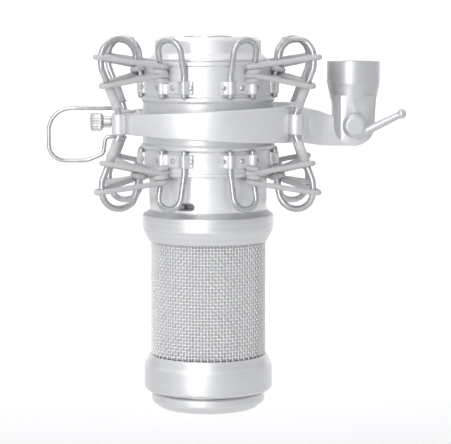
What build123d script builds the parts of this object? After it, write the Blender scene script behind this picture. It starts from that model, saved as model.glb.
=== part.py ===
"""Side-address condenser microphone hanging grille down in an elastic shock mount.

Units are millimetres, +Z is up. The origin is on the axis of the stand thread, half way down the
thread. The microphone hangs to the left, at -X, and its front faces -Y, turned a little to the left.
"""

import os
from math import cos, hypot, radians, sin, sqrt

from build123d import *

os.makedirs("parts", exist_ok=True)

# Places
PIVOT_Z = -18.0  # tilt pivot below the middle of the stand thread
MIC_X = -55.0  # axis of the microphone
RING_Z = PIVOT_Z + 1.0  # middle plane of the outer ring and of the cradle's hooks
FRONT_AZIMUTH = -112.0  # the way the capsule, the switch and the mark face

# Microphone, from its connector end (top) to its grille end (bottom)
BASE_Z = PIVOT_Z + 33.0
COLLAR_Z = PIVOT_Z - 32.0
GRILLE_Z = PIVOT_Z - 44.0
CAP_Z = PIVOT_Z - 87.5
END_Z = PIVOT_Z - 101.0
TIP_Z = PIVOT_Z - 108.0
BODY_R = 22.3
BODY_WALL = 1.7
COLLAR_R = 25.0
GRILLE_R = 22.0
CAP_R = 24.4
END_R = 21.6
BASE_RING_H = 8.8
BASE_R = 20.2
BASE_SCREW_Z = BASE_Z - 11.3
MESH_WALL = 0.8
CAPSULE_R = 16.5
CAPSULE_HALF = 4.0
CAPSULE_Z = (GRILLE_Z + CAP_Z) / 2
DECK_Z = COLLAR_Z - 3.0
DECK_H = 3.0

# Connector
XLR_SHELL_R = 9.6
XLR_BORE_R = 8.0
XLR_DEPTH = 14.0
XLR_PIN_R = 1.2
XLR_PIN_CIRCLE_R = 3.5

# Low-cut switch in the body wall
SWITCH_Z = COLLAR_Z + 2.4
SWITCH_W = 7.6
SWITCH_H = 3.0
SWITCH_TRAVEL = 3.4

# Cradle that grips the body
LINER_R = BODY_R + 0.3
BAND_IN_R = 23.4
BAND_R = 24.6
BAND_TOP = PIVOT_Z + 24.0
BAND_LOW = PIVOT_Z - 18.5
HOOK_WIRE_R = 1.1
HOOK_HALF = 4.8
HOOK_FOOT = 10.0
HOOK_KNEE = 18.0
HOOK_TOP = 31.0
HOOK_TOP_R = 28.6
HOOK_AZIMUTHS = (0.0, 60.0, 120.0, 180.0, 240.0, 300.0)
HOOK_BENDS = [3.0, 4.5, 4.5, 3.0]
CLAMP_R = BAND_R + 2.6
CLAMP_HALF_ANGLE = 18.0
CLAMP_LOW = 11.0
CLAMP_HIGH = 16.0

# Thumbscrew at the left of the cradle, distances from the microphone's axis
SCREW_R = 2.0
SCREW_TIP = 23.45
BOSS_END = 31.6
KNOB_NECK = 36.7
KNOB_HEAD = 40.0
KNOB_END = 44.5
KNOB_R = 3.5
NECK_R = 2.25
PAD_R = 3.0

# Outer frame
RING_IN_R = 33.6
RING_R = 36.0
RING_HALF_RIGHT = 7.2
RING_HALF_LEFT = 3.4
EYE_SLOT_R = 2.8
EYE_RISE = 3.2
EYE_R = 5.2
ARM_WIRE_R = 1.2
ARM_ROOT_R = 37.8
ARM_OUT_R = 45.0
ARM_IN_R = 30.6
ARM_KNEE = 21.0
ARM_ROOT = 4.5
ARM_TOP = 31.3
ARM_END = 24.0
ARM_AZIMUTHS = {"right_back": 30.0, "right_front": -30.0, "left_back": 150.0, "left_front": 210.0}
SLEEVE_R = 1.75
ELASTIC_R = 1.05
YOKE_SCREW_Z = 3.0
YOKE_SCREW_LENGTH = 5.5
LOOP_WIRE_R = 0.8
LOOP_Y = -4.2

# Swivel and stand socket
TONGUE_HALF = 4.0
TONGUE_R = 8.0
EAR_IN = 4.6
EAR_OUT = 8.6
EAR_R = 7.6
SOCKET_FLOOR = PIVOT_Z + 9.2
SOCKET_MOUTH = 6.0
SOCKET_R = 10.0
INSERT_R = 9.0
THREAD_R = 7.45
THREAD_LENGTH = 12.0
BOLT_R = 2.5
RUNNING = 0.05  # radial clearance of a turning fit
LEVER_HUB_R = 4.6
LEVER_IN = 9.0
LEVER_OUT = 13.4
LEVER_ROOT_Y = -11.3
LEVER_TIP_Y = -12.4
LEVER_ROOT = (2.2, -3.9)
LEVER_TIP = (17.3, 4.6)
LEVER_ROD_R = 1.25
LEVER_BALL_R = 1.8


def polar(azimuth, radius, across=0.0, z=0.0):
    """Point at a radius and azimuth about the microphone's axis, moved across the radius."""
    a = radians(azimuth)
    return Vector(
        MIC_X + radius * cos(a) - across * sin(a), radius * sin(a) + across * cos(a), RING_Z + z
    )


def radial_plane(azimuth):
    """Plane through the microphone's axis: x runs outward at the azimuth, y runs up."""
    a = radians(azimuth)
    return Plane(origin=(MIC_X, 0, RING_Z), x_dir=(cos(a), sin(a), 0), z_dir=(sin(a), -cos(a), 0))


def outward_plane(azimuth, radius, z):
    """Plane square to a radius: x runs across it, y runs up, z runs outward."""
    a = radians(azimuth)
    origin = (MIC_X + radius * cos(a), radius * sin(a), z)
    return Plane(origin=origin, x_dir=(-sin(a), cos(a), 0), z_dir=(cos(a), sin(a), 0))


def save(builder, name):
    """Label a finished piece and write its STEP file."""
    builder.part.label = name
    export_step(builder.part, f"parts/{name}.step")


mic_axis = Axis((MIC_X, 0, 0), (0, 0, 1))
mic_section = Plane(origin=(MIC_X, 0, 0), x_dir=(1, 0, 0), z_dir=(0, -1, 0))
capsule_plane = outward_plane(FRONT_AZIMUTH, 0.0, CAPSULE_Z)
board_plane = outward_plane(FRONT_AZIMUTH, 0.0, 0.0)


def mic_level(z):
    """Level plane centred on the microphone's axis, turned so that x runs across its front."""
    a = radians(FRONT_AZIMUTH)
    return Plane(origin=(MIC_X, 0, z), x_dir=(-sin(a), cos(a), 0), z_dir=(0, 0, 1))


# ---------------------------------------------------------------- microphone: housing

with BuildPart() as body_tube:
    with BuildSketch(mic_level(COLLAR_Z)):
        Circle(BODY_R)
        Circle(BODY_R - BODY_WALL, mode=Mode.SUBTRACT)
    extrude(amount=BASE_Z - BASE_RING_H - COLLAR_Z)
    with BuildSketch(outward_plane(FRONT_AZIMUTH, 0, SWITCH_Z)):
        SlotOverall(SWITCH_W, SWITCH_H)
    extrude(amount=BODY_R + 1, mode=Mode.SUBTRACT)
    with BuildSketch(outward_plane(FRONT_AZIMUTH, 0, BASE_SCREW_Z)):
        Circle(1.5)
    extrude(amount=BODY_R + 1, both=True, mode=Mode.SUBTRACT)
save(body_tube, "body_tube")

with BuildPart() as base_ring:
    with BuildSketch(mic_section):
        with BuildLine():
            Polyline(
                (XLR_SHELL_R, BASE_Z),
                (BASE_R - 1.4, BASE_Z),
                (BASE_R - 0.2, BASE_Z - 1.0),
                (BASE_R, BASE_Z - 6.0),
                (BODY_R, BASE_Z - 8.0),
                (BODY_R, BASE_Z - BASE_RING_H),
                (BODY_R - BODY_WALL, BASE_Z - BASE_RING_H),
                (BODY_R - BODY_WALL, BASE_Z - 14.0),
                (BODY_R - BODY_WALL - 2.0, BASE_Z - 14.0),
                (BODY_R - BODY_WALL - 2.0, BASE_Z - BASE_RING_H),
                (BASE_R - 2.2, BASE_Z - 7.0),
                (BASE_R - 2.2, BASE_Z - 3.5),
                (XLR_SHELL_R, BASE_Z - 3.5),
                close=True,
            )
        make_face()
    revolve(axis=mic_axis)
    with BuildSketch(outward_plane(FRONT_AZIMUTH, 0, BASE_SCREW_Z)):
        Circle(1.5)
    extrude(amount=BODY_R + 1, both=True, mode=Mode.SUBTRACT)
save(base_ring, "base_ring")

with BuildPart() as housing_screws:
    for turn in (0, 180):
        with BuildSketch(outward_plane(FRONT_AZIMUTH + turn, BODY_R - 4.0, BASE_SCREW_Z)):
            Circle(1.5)
        extrude(amount=3.9)
        with BuildSketch(outward_plane(FRONT_AZIMUTH + turn, BODY_R - 0.1, BASE_SCREW_Z)):
            Rectangle(2.0, 0.5)
        extrude(amount=-0.7, mode=Mode.SUBTRACT)
save(housing_screws, "housing_screws")

with BuildPart() as collar:
    with BuildSketch(mic_section):
        with BuildLine():
            Polyline(
                (BODY_R - BODY_WALL - 1.6, COLLAR_Z + 5.0),
                (BODY_R - BODY_WALL, COLLAR_Z + 5.0),
                (BODY_R - BODY_WALL, COLLAR_Z),
                (BODY_R, COLLAR_Z),
                (COLLAR_R, COLLAR_Z - 2.0),
                (COLLAR_R, COLLAR_Z - 7.0),
                (GRILLE_R + 0.6, GRILLE_Z),
                (GRILLE_R - MESH_WALL - 1.6, GRILLE_Z),
                (GRILLE_R - MESH_WALL - 1.6, DECK_Z - DECK_H),
                (BODY_R - BODY_WALL - 1.6, DECK_Z - DECK_H),
                close=True,
            )
        make_face()
    revolve(axis=mic_axis)
    with BuildSketch(outward_plane(FRONT_AZIMUTH, 0, SWITCH_Z)):
        Rectangle(SWITCH_W + 4, SWITCH_H + 3)
    extrude(amount=BODY_R - BODY_WALL + 0.001, mode=Mode.SUBTRACT)
    outer_rims = collar.edges().filter_by(GeomType.CIRCLE).group_by(SortBy.RADIUS)[-1]
    fillet(outer_rims, radius=0.8)
save(collar, "collar")

with BuildPart() as cap_ring:
    with BuildSketch(mic_section):
        with BuildLine():
            Polyline(
                (GRILLE_R - MESH_WALL - 1.6, CAP_Z),
                (GRILLE_R + 0.5, CAP_Z),
                (CAP_R, CAP_Z - 4.2),
                (CAP_R, END_Z + 1.0),
                (CAP_R - 1.0, END_Z),
                (GRILLE_R - MESH_WALL - 1.6, END_Z),
                close=True,
            )
        make_face()
    revolve(axis=mic_axis)
    outer_rims = cap_ring.edges().filter_by(GeomType.CIRCLE).group_by(SortBy.RADIUS)[-1]
    fillet(outer_rims, radius=0.7)
save(cap_ring, "cap_ring")

with BuildPart() as end_cap:
    with BuildSketch(mic_section):
        with BuildLine():
            Line((0, END_Z + 3.0), (GRILLE_R - MESH_WALL - 1.6, END_Z + 3.0))
            Line((GRILLE_R - MESH_WALL - 1.6, END_Z + 3.0), (GRILLE_R - MESH_WALL - 1.6, END_Z))
            Line((GRILLE_R - MESH_WALL - 1.6, END_Z), (END_R, END_Z))
            Line((END_R, END_Z), (END_R, TIP_Z + 3.0))
            RadiusArc((END_R, TIP_Z + 3.0), (END_R - 3.0, TIP_Z), 3.0)
            Line((END_R - 3.0, TIP_Z), (0, TIP_Z))
            Line((0, TIP_Z), (0, END_Z + 3.0))
        make_face()
    revolve(axis=mic_axis)
save(end_cap, "end_cap")

# ---------------------------------------------------------------- microphone: grille

with BuildPart() as grille_mesh:
    with BuildSketch(mic_level(CAP_Z)):
        Circle(GRILLE_R)
        Circle(GRILLE_R - MESH_WALL, mode=Mode.SUBTRACT)
    extrude(amount=GRILLE_Z - CAP_Z)
save(grille_mesh, "grille_mesh")

with BuildPart() as grille_ribs:
    with BuildSketch(mic_level(CAP_Z)):
        Circle(GRILLE_R - MESH_WALL)
        Circle(GRILLE_R - MESH_WALL - 0.8, mode=Mode.SUBTRACT)
        with Locations((0, 0)):
            Rectangle(2 * GRILLE_R, 4.0, mode=Mode.INTERSECT)
    extrude(amount=GRILLE_Z - CAP_Z)
save(grille_ribs, "grille_ribs")

with BuildPart() as inner_mesh:
    with BuildSketch(mic_level(CAP_Z)):
        Circle(GRILLE_R - MESH_WALL - 0.8)
        Circle(GRILLE_R - MESH_WALL - 1.2, mode=Mode.SUBTRACT)
    extrude(amount=GRILLE_Z - CAP_Z)
save(inner_mesh, "inner_mesh")

with BuildPart() as foam_liner:
    with BuildSketch(mic_level(CAP_Z)):
        Circle(GRILLE_R - MESH_WALL - 1.2)
        Circle(GRILLE_R - MESH_WALL - 3.0, mode=Mode.SUBTRACT)
    extrude(amount=GRILLE_Z - CAP_Z)
save(foam_liner, "foam_liner")

# ---------------------------------------------------------------- microphone: capsule

with BuildPart() as capsule_deck:
    with BuildSketch(mic_level(DECK_Z)):
        Circle(BODY_R - BODY_WALL - 1.6)
    extrude(amount=-DECK_H)
save(capsule_deck, "capsule_deck")

with BuildPart() as capsule_post:
    with BuildSketch(mic_level(DECK_Z - DECK_H)):
        Circle(7.0)
    extrude(amount=-1.5)
    with BuildSketch(mic_level(DECK_Z - DECK_H - 1.5)):
        Circle(4.0)
    extrude(amount=GRILLE_Z - 1.5 - (DECK_Z - DECK_H - 1.5))
save(capsule_post, "capsule_post")

with BuildPart() as capsule_isolator:
    with BuildSketch(mic_level(GRILLE_Z - 1.5)):
        Rectangle(16.0, 7.0)
    extrude(amount=-4.5)
    with BuildSketch(capsule_plane):
        Circle(CAPSULE_R)
    extrude(amount=12, both=True, mode=Mode.SUBTRACT)
save(capsule_isolator, "capsule_isolator")

with BuildPart() as capsule_body:
    with BuildSketch(capsule_plane):
        Circle(CAPSULE_R)
        Circle(CAPSULE_R - 3.2, mode=Mode.SUBTRACT)
    extrude(amount=CAPSULE_HALF, both=True)
save(capsule_body, "capsule_body")

with BuildPart() as backplate:
    with BuildSketch(capsule_plane):
        Circle(CAPSULE_R - 3.2)
        with PolarLocations(4.0, 6):
            Circle(0.6, mode=Mode.SUBTRACT)
        with PolarLocations(8.5, 12):
            Circle(0.6, mode=Mode.SUBTRACT)
    extrude(amount=CAPSULE_HALF - 0.3, both=True)
save(backplate, "backplate")

for name, side in (("diaphragm_front", 1), ("diaphragm_rear", -1)):
    with BuildPart() as diaphragm:
        with BuildSketch(capsule_plane.offset(side * CAPSULE_HALF)):
            Circle(CAPSULE_R - 0.6)
        extrude(amount=side * 0.15)
        with BuildSketch(capsule_plane.offset(side * (CAPSULE_HALF + 0.15))):
            Circle(1.4)
        extrude(amount=side * 0.6)
    save(diaphragm, name)

with BuildPart() as clamp_rings:
    for side in (1, -1):
        with BuildSketch(capsule_plane.offset(side * (CAPSULE_HALF + 0.15))):
            Circle(CAPSULE_R)
            Circle(CAPSULE_R - 3.0, mode=Mode.SUBTRACT)
            with PolarLocations(CAPSULE_R - 1.5, 8):
                Circle(0.6, mode=Mode.SUBTRACT)
        extrude(amount=side * 1.0)
save(clamp_rings, "clamp_rings")

with BuildPart() as capsule_screws:
    for side in (1, -1):
        with BuildSketch(capsule_plane.offset(side * (CAPSULE_HALF + 0.15))):
            with PolarLocations(CAPSULE_R - 1.5, 8):
                Circle(0.6)
        extrude(amount=side * 1.0)
        with BuildSketch(capsule_plane.offset(side * (CAPSULE_HALF + 1.15))):
            with PolarLocations(CAPSULE_R - 1.5, 8):
                Circle(1.0)
        extrude(amount=side * 0.7)
save(capsule_screws, "capsule_screws")

# ---------------------------------------------------------------- microphone: connector

with BuildPart() as xlr_shell:
    with BuildSketch(mic_level(BASE_Z - XLR_DEPTH - 1.5)):
        Circle(XLR_SHELL_R)
        Circle(XLR_BORE_R, mode=Mode.SUBTRACT)
    extrude(amount=XLR_DEPTH + 1.5 + 0.6)
    chamfer(xlr_shell.edges().filter_by(GeomType.CIRCLE).group_by(Axis.Z)[-1], length=0.4)
save(xlr_shell, "xlr_shell")

with BuildPart() as xlr_insulator:
    with BuildSketch(mic_level(BASE_Z - XLR_DEPTH - 1.5)):
        Circle(XLR_BORE_R)
        with PolarLocations(XLR_PIN_CIRCLE_R, 3, start_angle=90):
            Circle(XLR_PIN_R, mode=Mode.SUBTRACT)
    extrude(amount=3.0)
save(xlr_insulator, "xlr_insulator")

with BuildPart() as xlr_pins:
    with BuildSketch(mic_level(BASE_Z - XLR_DEPTH - 3.5)):
        with PolarLocations(XLR_PIN_CIRCLE_R, 3, start_angle=90):
            Circle(XLR_PIN_R)
    extrude(amount=XLR_DEPTH + 1.5)
    fillet(xlr_pins.edges().filter_by(GeomType.CIRCLE).group_by(Axis.Z)[-1], radius=0.8)
save(xlr_pins, "xlr_pins")

# ---------------------------------------------------------------- microphone: electronics

PLATE_Z = BASE_Z - XLR_DEPTH - 5.5
RAIL_X = 16.6
BOARD_TOP = PLATE_Z - 4.0
BOARD_LOW = DECK_Z + 7.5

with BuildPart() as base_plate:
    with BuildSketch(mic_level(PLATE_Z)):
        Circle(BODY_R - BODY_WALL - 0.6)
        Circle(4.5, mode=Mode.SUBTRACT)
    extrude(amount=2.0)
save(base_plate, "base_plate")

with BuildPart() as chassis_rails:
    with BuildSketch(mic_level(DECK_Z)):
        with Locations((RAIL_X, 0), (-RAIL_X, 0)):
            Rectangle(3.0, 6.0)
    extrude(amount=PLATE_Z - DECK_Z)
save(chassis_rails, "chassis_rails")

with BuildPart() as main_board:
    with BuildSketch(board_plane):
        with Locations((0, (BOARD_TOP + BOARD_LOW) / 2)):
            Rectangle(2 * RAIL_X - 3.0, BOARD_TOP - BOARD_LOW)
        with Locations((0, (BOARD_TOP + BOARD_LOW) / 2)):
            with GridLocations(2 * RAIL_X - 8.0, 18.0, 2, 2):
                Circle(1.1, mode=Mode.SUBTRACT)
    extrude(amount=0.8, both=True)
save(main_board, "main_board")

with BuildPart() as transformer:
    with BuildSketch(board_plane.offset(0.8)):
        with Locations((0, BOARD_TOP - 11.0)):
            RectangleRounded(17.0, 15.0, 1.0)
    extrude(amount=11.0)
save(transformer, "transformer")

with BuildPart() as capacitors:
    with BuildSketch(board_plane.offset(0.8)):
        with Locations((-8.0, BOARD_LOW + 5.0), (0.0, BOARD_LOW + 5.0), (8.0, BOARD_LOW + 5.0)):
            Circle(3.2)
    extrude(amount=9.0)
    with BuildSketch(board_plane.offset(-0.8)):
        with Locations((0, (BOARD_TOP + BOARD_LOW) / 2)):
            with GridLocations(10.0, 14.0, 2, 2):
                Circle(2.5)
    extrude(amount=-7.0)
save(capacitors, "capacitors")

# ---------------------------------------------------------------- microphone: low-cut switch

SWITCH_SEAT = BODY_R - BODY_WALL - 0.2

with BuildPart() as switch_bezel:
    with BuildSketch(outward_plane(FRONT_AZIMUTH, SWITCH_SEAT - 1.0, SWITCH_Z)):
        SlotOverall(SWITCH_W, SWITCH_H)
        SlotOverall(SWITCH_W - 1.2, SWITCH_H - 1.2, mode=Mode.SUBTRACT)
    extrude(amount=2.2)
save(switch_bezel, "switch_bezel")

with BuildPart() as switch_base:
    with BuildSketch(outward_plane(FRONT_AZIMUTH, SWITCH_SEAT - 1.0, SWITCH_Z)):
        Rectangle(SWITCH_W + 2.0, SWITCH_H + 1.6)
    extrude(amount=-2.0)
save(switch_base, "switch_base")

with BuildPart() as switch_slider:
    with BuildSketch(outward_plane(FRONT_AZIMUTH, SWITCH_SEAT - 0.9, SWITCH_Z)):
        with Locations((-SWITCH_TRAVEL / 2, 0)):
            RectangleRounded(2.2, 1.4, 0.3)
    extrude(amount=2.1)
save(switch_slider, "switch_slider")

# ---------------------------------------------------------------- cradle

with BuildPart() as cradle_band:
    with BuildSketch(mic_level(BAND_LOW)):
        Circle(BAND_R)
        Circle(BAND_IN_R, mode=Mode.SUBTRACT)
    extrude(amount=BAND_TOP - BAND_LOW)
    with BuildSketch(outward_plane(180, 0, RING_Z)):
        Circle(PAD_R + 0.3)
    extrude(amount=BAND_R + 1, mode=Mode.SUBTRACT)
    for level in (RING_Z + 9.0, RING_Z - 9.0):
        with BuildSketch(Plane(origin=(MIC_X, 0, level))):
            Circle(BAND_R + 0.7)
            Circle(BAND_R, mode=Mode.SUBTRACT)
        extrude(amount=0.8, both=True)
save(cradle_band, "cradle_band")

with BuildPart() as cradle_liner:
    with BuildSketch(mic_level(BAND_LOW + 1.0)):
        Circle(BAND_IN_R)
        Circle(LINER_R, mode=Mode.SUBTRACT)
    extrude(amount=BAND_TOP - BAND_LOW - 2.0)
    with BuildSketch(outward_plane(180, 0, RING_Z)):
        Circle(PAD_R + 0.3)
    extrude(amount=BAND_R + 1, mode=Mode.SUBTRACT)
save(cradle_liner, "cradle_liner")

with BuildPart() as screw_boss:
    with BuildSketch(outward_plane(180, BAND_R - 0.8, RING_Z)):
        Circle(5.0)
    extrude(amount=3.2)
    with BuildSketch(outward_plane(180, BAND_R + 2.4, RING_Z)):
        Circle(3.2)
    extrude(amount=BOSS_END - BAND_R - 2.4)
    with BuildSketch(mic_level(RING_Z - 8.0)):
        Circle(BAND_R)
    extrude(amount=16.0, mode=Mode.SUBTRACT)
    with BuildSketch(outward_plane(180, BAND_R - 0.8, RING_Z)):
        Circle(PAD_R + 0.3)
    extrude(amount=2.1, mode=Mode.SUBTRACT)
    with BuildSketch(outward_plane(180, BAND_R, RING_Z)):
        Circle(SCREW_R + RUNNING)
    extrude(amount=12.0, mode=Mode.SUBTRACT)
save(screw_boss, "screw_boss")

HOOK_FOOT_R = sqrt((BAND_R + HOOK_WIRE_R) ** 2 - HOOK_HALF**2)


def hook_route(azimuth, side):
    """Corner points of one wire hook: up one leg, over the top and down the other leg."""
    legs = [
        (HOOK_FOOT_R, HOOK_FOOT),
        (HOOK_FOOT_R, HOOK_KNEE),
        (HOOK_TOP_R, HOOK_TOP),
    ]
    up = [polar(azimuth, r, -HOOK_HALF, side * z) for r, z in legs]
    down = [polar(azimuth, r, HOOK_HALF, side * z) for r, z in reversed(legs)]
    return up + down


for name, side in (("hooks_upper", 1), ("hooks_lower", -1)):
    with BuildPart() as hooks:
        for azimuth in HOOK_AZIMUTHS:
            with BuildLine() as hook_path:
                FilletPolyline(*hook_route(azimuth, side), radius=HOOK_BENDS)
            with BuildSketch(Plane(origin=hook_path.line @ 0, z_dir=hook_path.line % 0)):
                Circle(HOOK_WIRE_R)
            sweep()
    save(hooks, name)

with BuildPart() as hook_clamps:
    for azimuth in HOOK_AZIMUTHS:
        for side in (1, -1):
            clamp_middle = ((BAND_R + CLAMP_R) / 2, side * (CLAMP_LOW + CLAMP_HIGH) / 2)
            with BuildSketch(radial_plane(azimuth - CLAMP_HALF_ANGLE)):
                with Locations(clamp_middle):
                    RectangleRounded(CLAMP_R - BAND_R, CLAMP_HIGH - CLAMP_LOW, 0.5)
            revolve(axis=mic_axis, revolution_arc=2 * CLAMP_HALF_ANGLE)
            outward = (cos(radians(azimuth)), sin(radians(azimuth)), 0)
            for leg in (-HOOK_HALF, HOOK_HALF):
                foot = polar(azimuth, HOOK_FOOT_R, leg, side * CLAMP_LOW)
                with BuildSketch(Plane(origin=foot, x_dir=outward, z_dir=(0, 0, 1))):
                    Circle(HOOK_WIRE_R)
                    with Locations((-HOOK_WIRE_R, 0)):
                        Rectangle(2 * HOOK_WIRE_R, 2 * HOOK_WIRE_R)
                extrude(amount=8.0, both=True, mode=Mode.SUBTRACT)
save(hook_clamps, "hook_clamps")

# ---------------------------------------------------------------- thumbscrew

with BuildPart() as thumb_knob:
    with BuildSketch(outward_plane(180, KNOB_NECK, RING_Z)):
        Circle(NECK_R)
    extrude(amount=KNOB_HEAD - KNOB_NECK)
    with BuildSketch(outward_plane(180, KNOB_HEAD, RING_Z)):
        Circle(KNOB_R)
        with PolarLocations(KNOB_R + 0.15, 18):
            Circle(0.45, mode=Mode.SUBTRACT)
    extrude(amount=KNOB_END - KNOB_HEAD)
    with BuildSketch(outward_plane(180, KNOB_NECK, RING_Z)):
        Circle(SCREW_R)
    extrude(amount=4.0, mode=Mode.SUBTRACT)
save(thumb_knob, "thumb_knob")

with BuildPart() as thumb_screw:
    with BuildSketch(outward_plane(180, SCREW_TIP, RING_Z)):
        Circle(SCREW_R)
    extrude(amount=KNOB_NECK + 4.0 - SCREW_TIP)
    chamfer(thumb_screw.edges().filter_by(GeomType.CIRCLE).group_by(Axis.X)[-1], length=0.5)
save(thumb_screw, "thumb_screw")

with BuildPart() as pressure_pad:
    with BuildSketch(outward_plane(180, LINER_R, RING_Z)):
        Circle(PAD_R)
    extrude(amount=SCREW_TIP - LINER_R - 0.05)
save(pressure_pad, "pressure_pad")

# ---------------------------------------------------------------- outer frame

with BuildPart() as outer_ring:
    with BuildSketch(Plane(origin=(MIC_X, 0, RING_Z))):
        Circle(RING_R)
        Circle(RING_IN_R, mode=Mode.SUBTRACT)
    extrude(amount=RING_HALF_RIGHT, both=True)
    with BuildSketch(Plane(origin=(MIC_X, 0, RING_Z), x_dir=(1, 0, 0), z_dir=(0, -1, 0))):
        with BuildLine():
            Polyline(
                (RING_R + 1, RING_HALF_RIGHT),
                (-RING_R - 1, RING_HALF_LEFT),
                (-RING_R - 1, -RING_HALF_LEFT),
                (RING_R + 1, -RING_HALF_RIGHT),
                close=True,
            )
        make_face()
    extrude(amount=RING_R + 1, both=True, mode=Mode.INTERSECT)
    with BuildSketch(outward_plane(180, RING_IN_R - 0.4, RING_Z)):
        SlotCenterToCenter(2 * EYE_RISE, 2 * EYE_R, rotation=90)
    extrude(amount=RING_R - RING_IN_R + 0.4)
    with BuildSketch(outward_plane(180, RING_IN_R - 2, RING_Z)):
        SlotCenterToCenter(2 * EYE_RISE, 2 * EYE_SLOT_R, rotation=90)
    extrude(amount=RING_R - RING_IN_R + 4, mode=Mode.SUBTRACT)
    for azimuth in ARM_AZIMUTHS.values():
        with BuildSketch(Plane(origin=polar(azimuth, ARM_ROOT_R))):
            Circle(2.7)
        extrude(amount=ARM_ROOT - 0.6, both=True)
        with BuildSketch(Plane(origin=polar(azimuth, ARM_ROOT_R))):
            Circle(ARM_WIRE_R)
        extrude(amount=10, both=True, mode=Mode.SUBTRACT)
    with BuildSketch(Plane(origin=(MIC_X, 0, RING_Z))):
        Circle(RING_IN_R - 0.4)
    extrude(amount=RING_HALF_RIGHT + 2, both=True, mode=Mode.SUBTRACT)
    with BuildSketch(outward_plane(0, RING_IN_R - 1, RING_Z)):
        with Locations((0, YOKE_SCREW_Z), (0, -YOKE_SCREW_Z)):
            Circle(1.5)
    extrude(amount=5, mode=Mode.SUBTRACT)
save(outer_ring, "outer_ring")

arm_corners = [
    (ARM_IN_R, ARM_END),
    (ARM_IN_R, ARM_TOP),
    (ARM_OUT_R, ARM_TOP),
    (ARM_OUT_R, ARM_KNEE),
    (ARM_ROOT_R, ARM_ROOT),
]
arm_points = arm_corners + [(r, -z) for r, z in reversed(arm_corners)]
ARM_BENDS = [6.9, 6.9, 7.0, 3.0, 3.0, 7.0, 6.9, 6.9]

for where, azimuth in ARM_AZIMUTHS.items():
    with BuildPart() as arm:
        with BuildLine(radial_plane(azimuth)) as arm_path:
            FilletPolyline(*arm_points, radius=ARM_BENDS)
        with BuildSketch(Plane(origin=arm_path.line @ 0, z_dir=arm_path.line % 0)):
            Circle(ARM_WIRE_R)
        sweep()
    save(arm, f"arm_{where}")

sleeve_run = hypot(ARM_OUT_R - ARM_ROOT_R, ARM_KNEE - ARM_ROOT)
sleeve_out = (ARM_OUT_R - ARM_ROOT_R) / sleeve_run
sleeve_up = (ARM_KNEE - ARM_ROOT) / sleeve_run

with BuildPart() as arm_sleeves:
    for azimuth in ARM_AZIMUTHS.values():
        for side in (1, -1):
            start = polar(azimuth, ARM_ROOT_R + 2.2 * sleeve_out, 0, side * (ARM_ROOT + 2.2 * sleeve_up))
            a = radians(azimuth)
            along = (sleeve_out * cos(a), sleeve_out * sin(a), side * sleeve_up)
            with BuildSketch(Plane(origin=start, z_dir=along)):
                Circle(SLEEVE_R)
                Circle(ARM_WIRE_R, mode=Mode.SUBTRACT)
            extrude(amount=sleeve_run - 8.0)
save(arm_sleeves, "arm_sleeves")

# Elastic cord stretched from each arm to the nearer legs of the two hooks beside it
ELASTIC_ENDS = (
    (ARM_OUT_R, 24.6, 21.5),
    (ARM_ROOT_R + 11.0 * sleeve_out, ARM_ROOT + 11.0 * sleeve_up, 18.2),
)


def hook_leg_r(z):
    """Distance of a hook's leg from the microphone's axis, at a height above the ring."""
    lean = max(0.0, (z - HOOK_KNEE) / (HOOK_TOP - HOOK_KNEE))
    return HOOK_FOOT_R + lean * (HOOK_TOP_R - HOOK_FOOT_R)


for name, side in (("elastics_upper", 1), ("elastics_lower", -1)):
    with BuildPart() as elastics:
        for azimuth in ARM_AZIMUTHS.values():
            for beside in (1, -1):
                for arm_r, arm_z, hook_z in ELASTIC_ENDS:
                    outer = polar(azimuth, arm_r, 0, side * arm_z)
                    inner = polar(
                        azimuth + 30 * beside, hook_leg_r(hook_z), -HOOK_HALF * beside, side * hook_z
                    )
                    run = inner - outer
                    start = outer + run.normalized() * (SLEEVE_R + 1.0)
                    length = run.length - (SLEEVE_R + 1.0) - (HOOK_WIRE_R + 0.5)
                    with BuildSketch(Plane(origin=start, z_dir=run)):
                        Circle(ELASTIC_R)
                    extrude(amount=length)
    save(elastics, name)

loop_points = [
    (-RING_R, 5.3),
    (-60.0, 5.3),
    (-60.0, -14.4),
    (-45.5, -14.4),
    (-39.4, -11.8),
    (-38.6, -5.4),
    (-RING_R, -5.4),
]

with BuildPart() as cable_loop:
    with BuildLine(Plane(origin=(MIC_X, LOOP_Y, RING_Z), x_dir=(1, 0, 0), z_dir=(0, -1, 0))) as loop_path:
        FilletPolyline(*loop_points, radius=[8.5, 6.0, 6.0, 2.6, 1.6])
    with BuildSketch(Plane(origin=loop_path.line @ 0, z_dir=loop_path.line % 0)):
        Circle(LOOP_WIRE_R)
    sweep()
save(cable_loop, "cable_loop")

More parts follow.
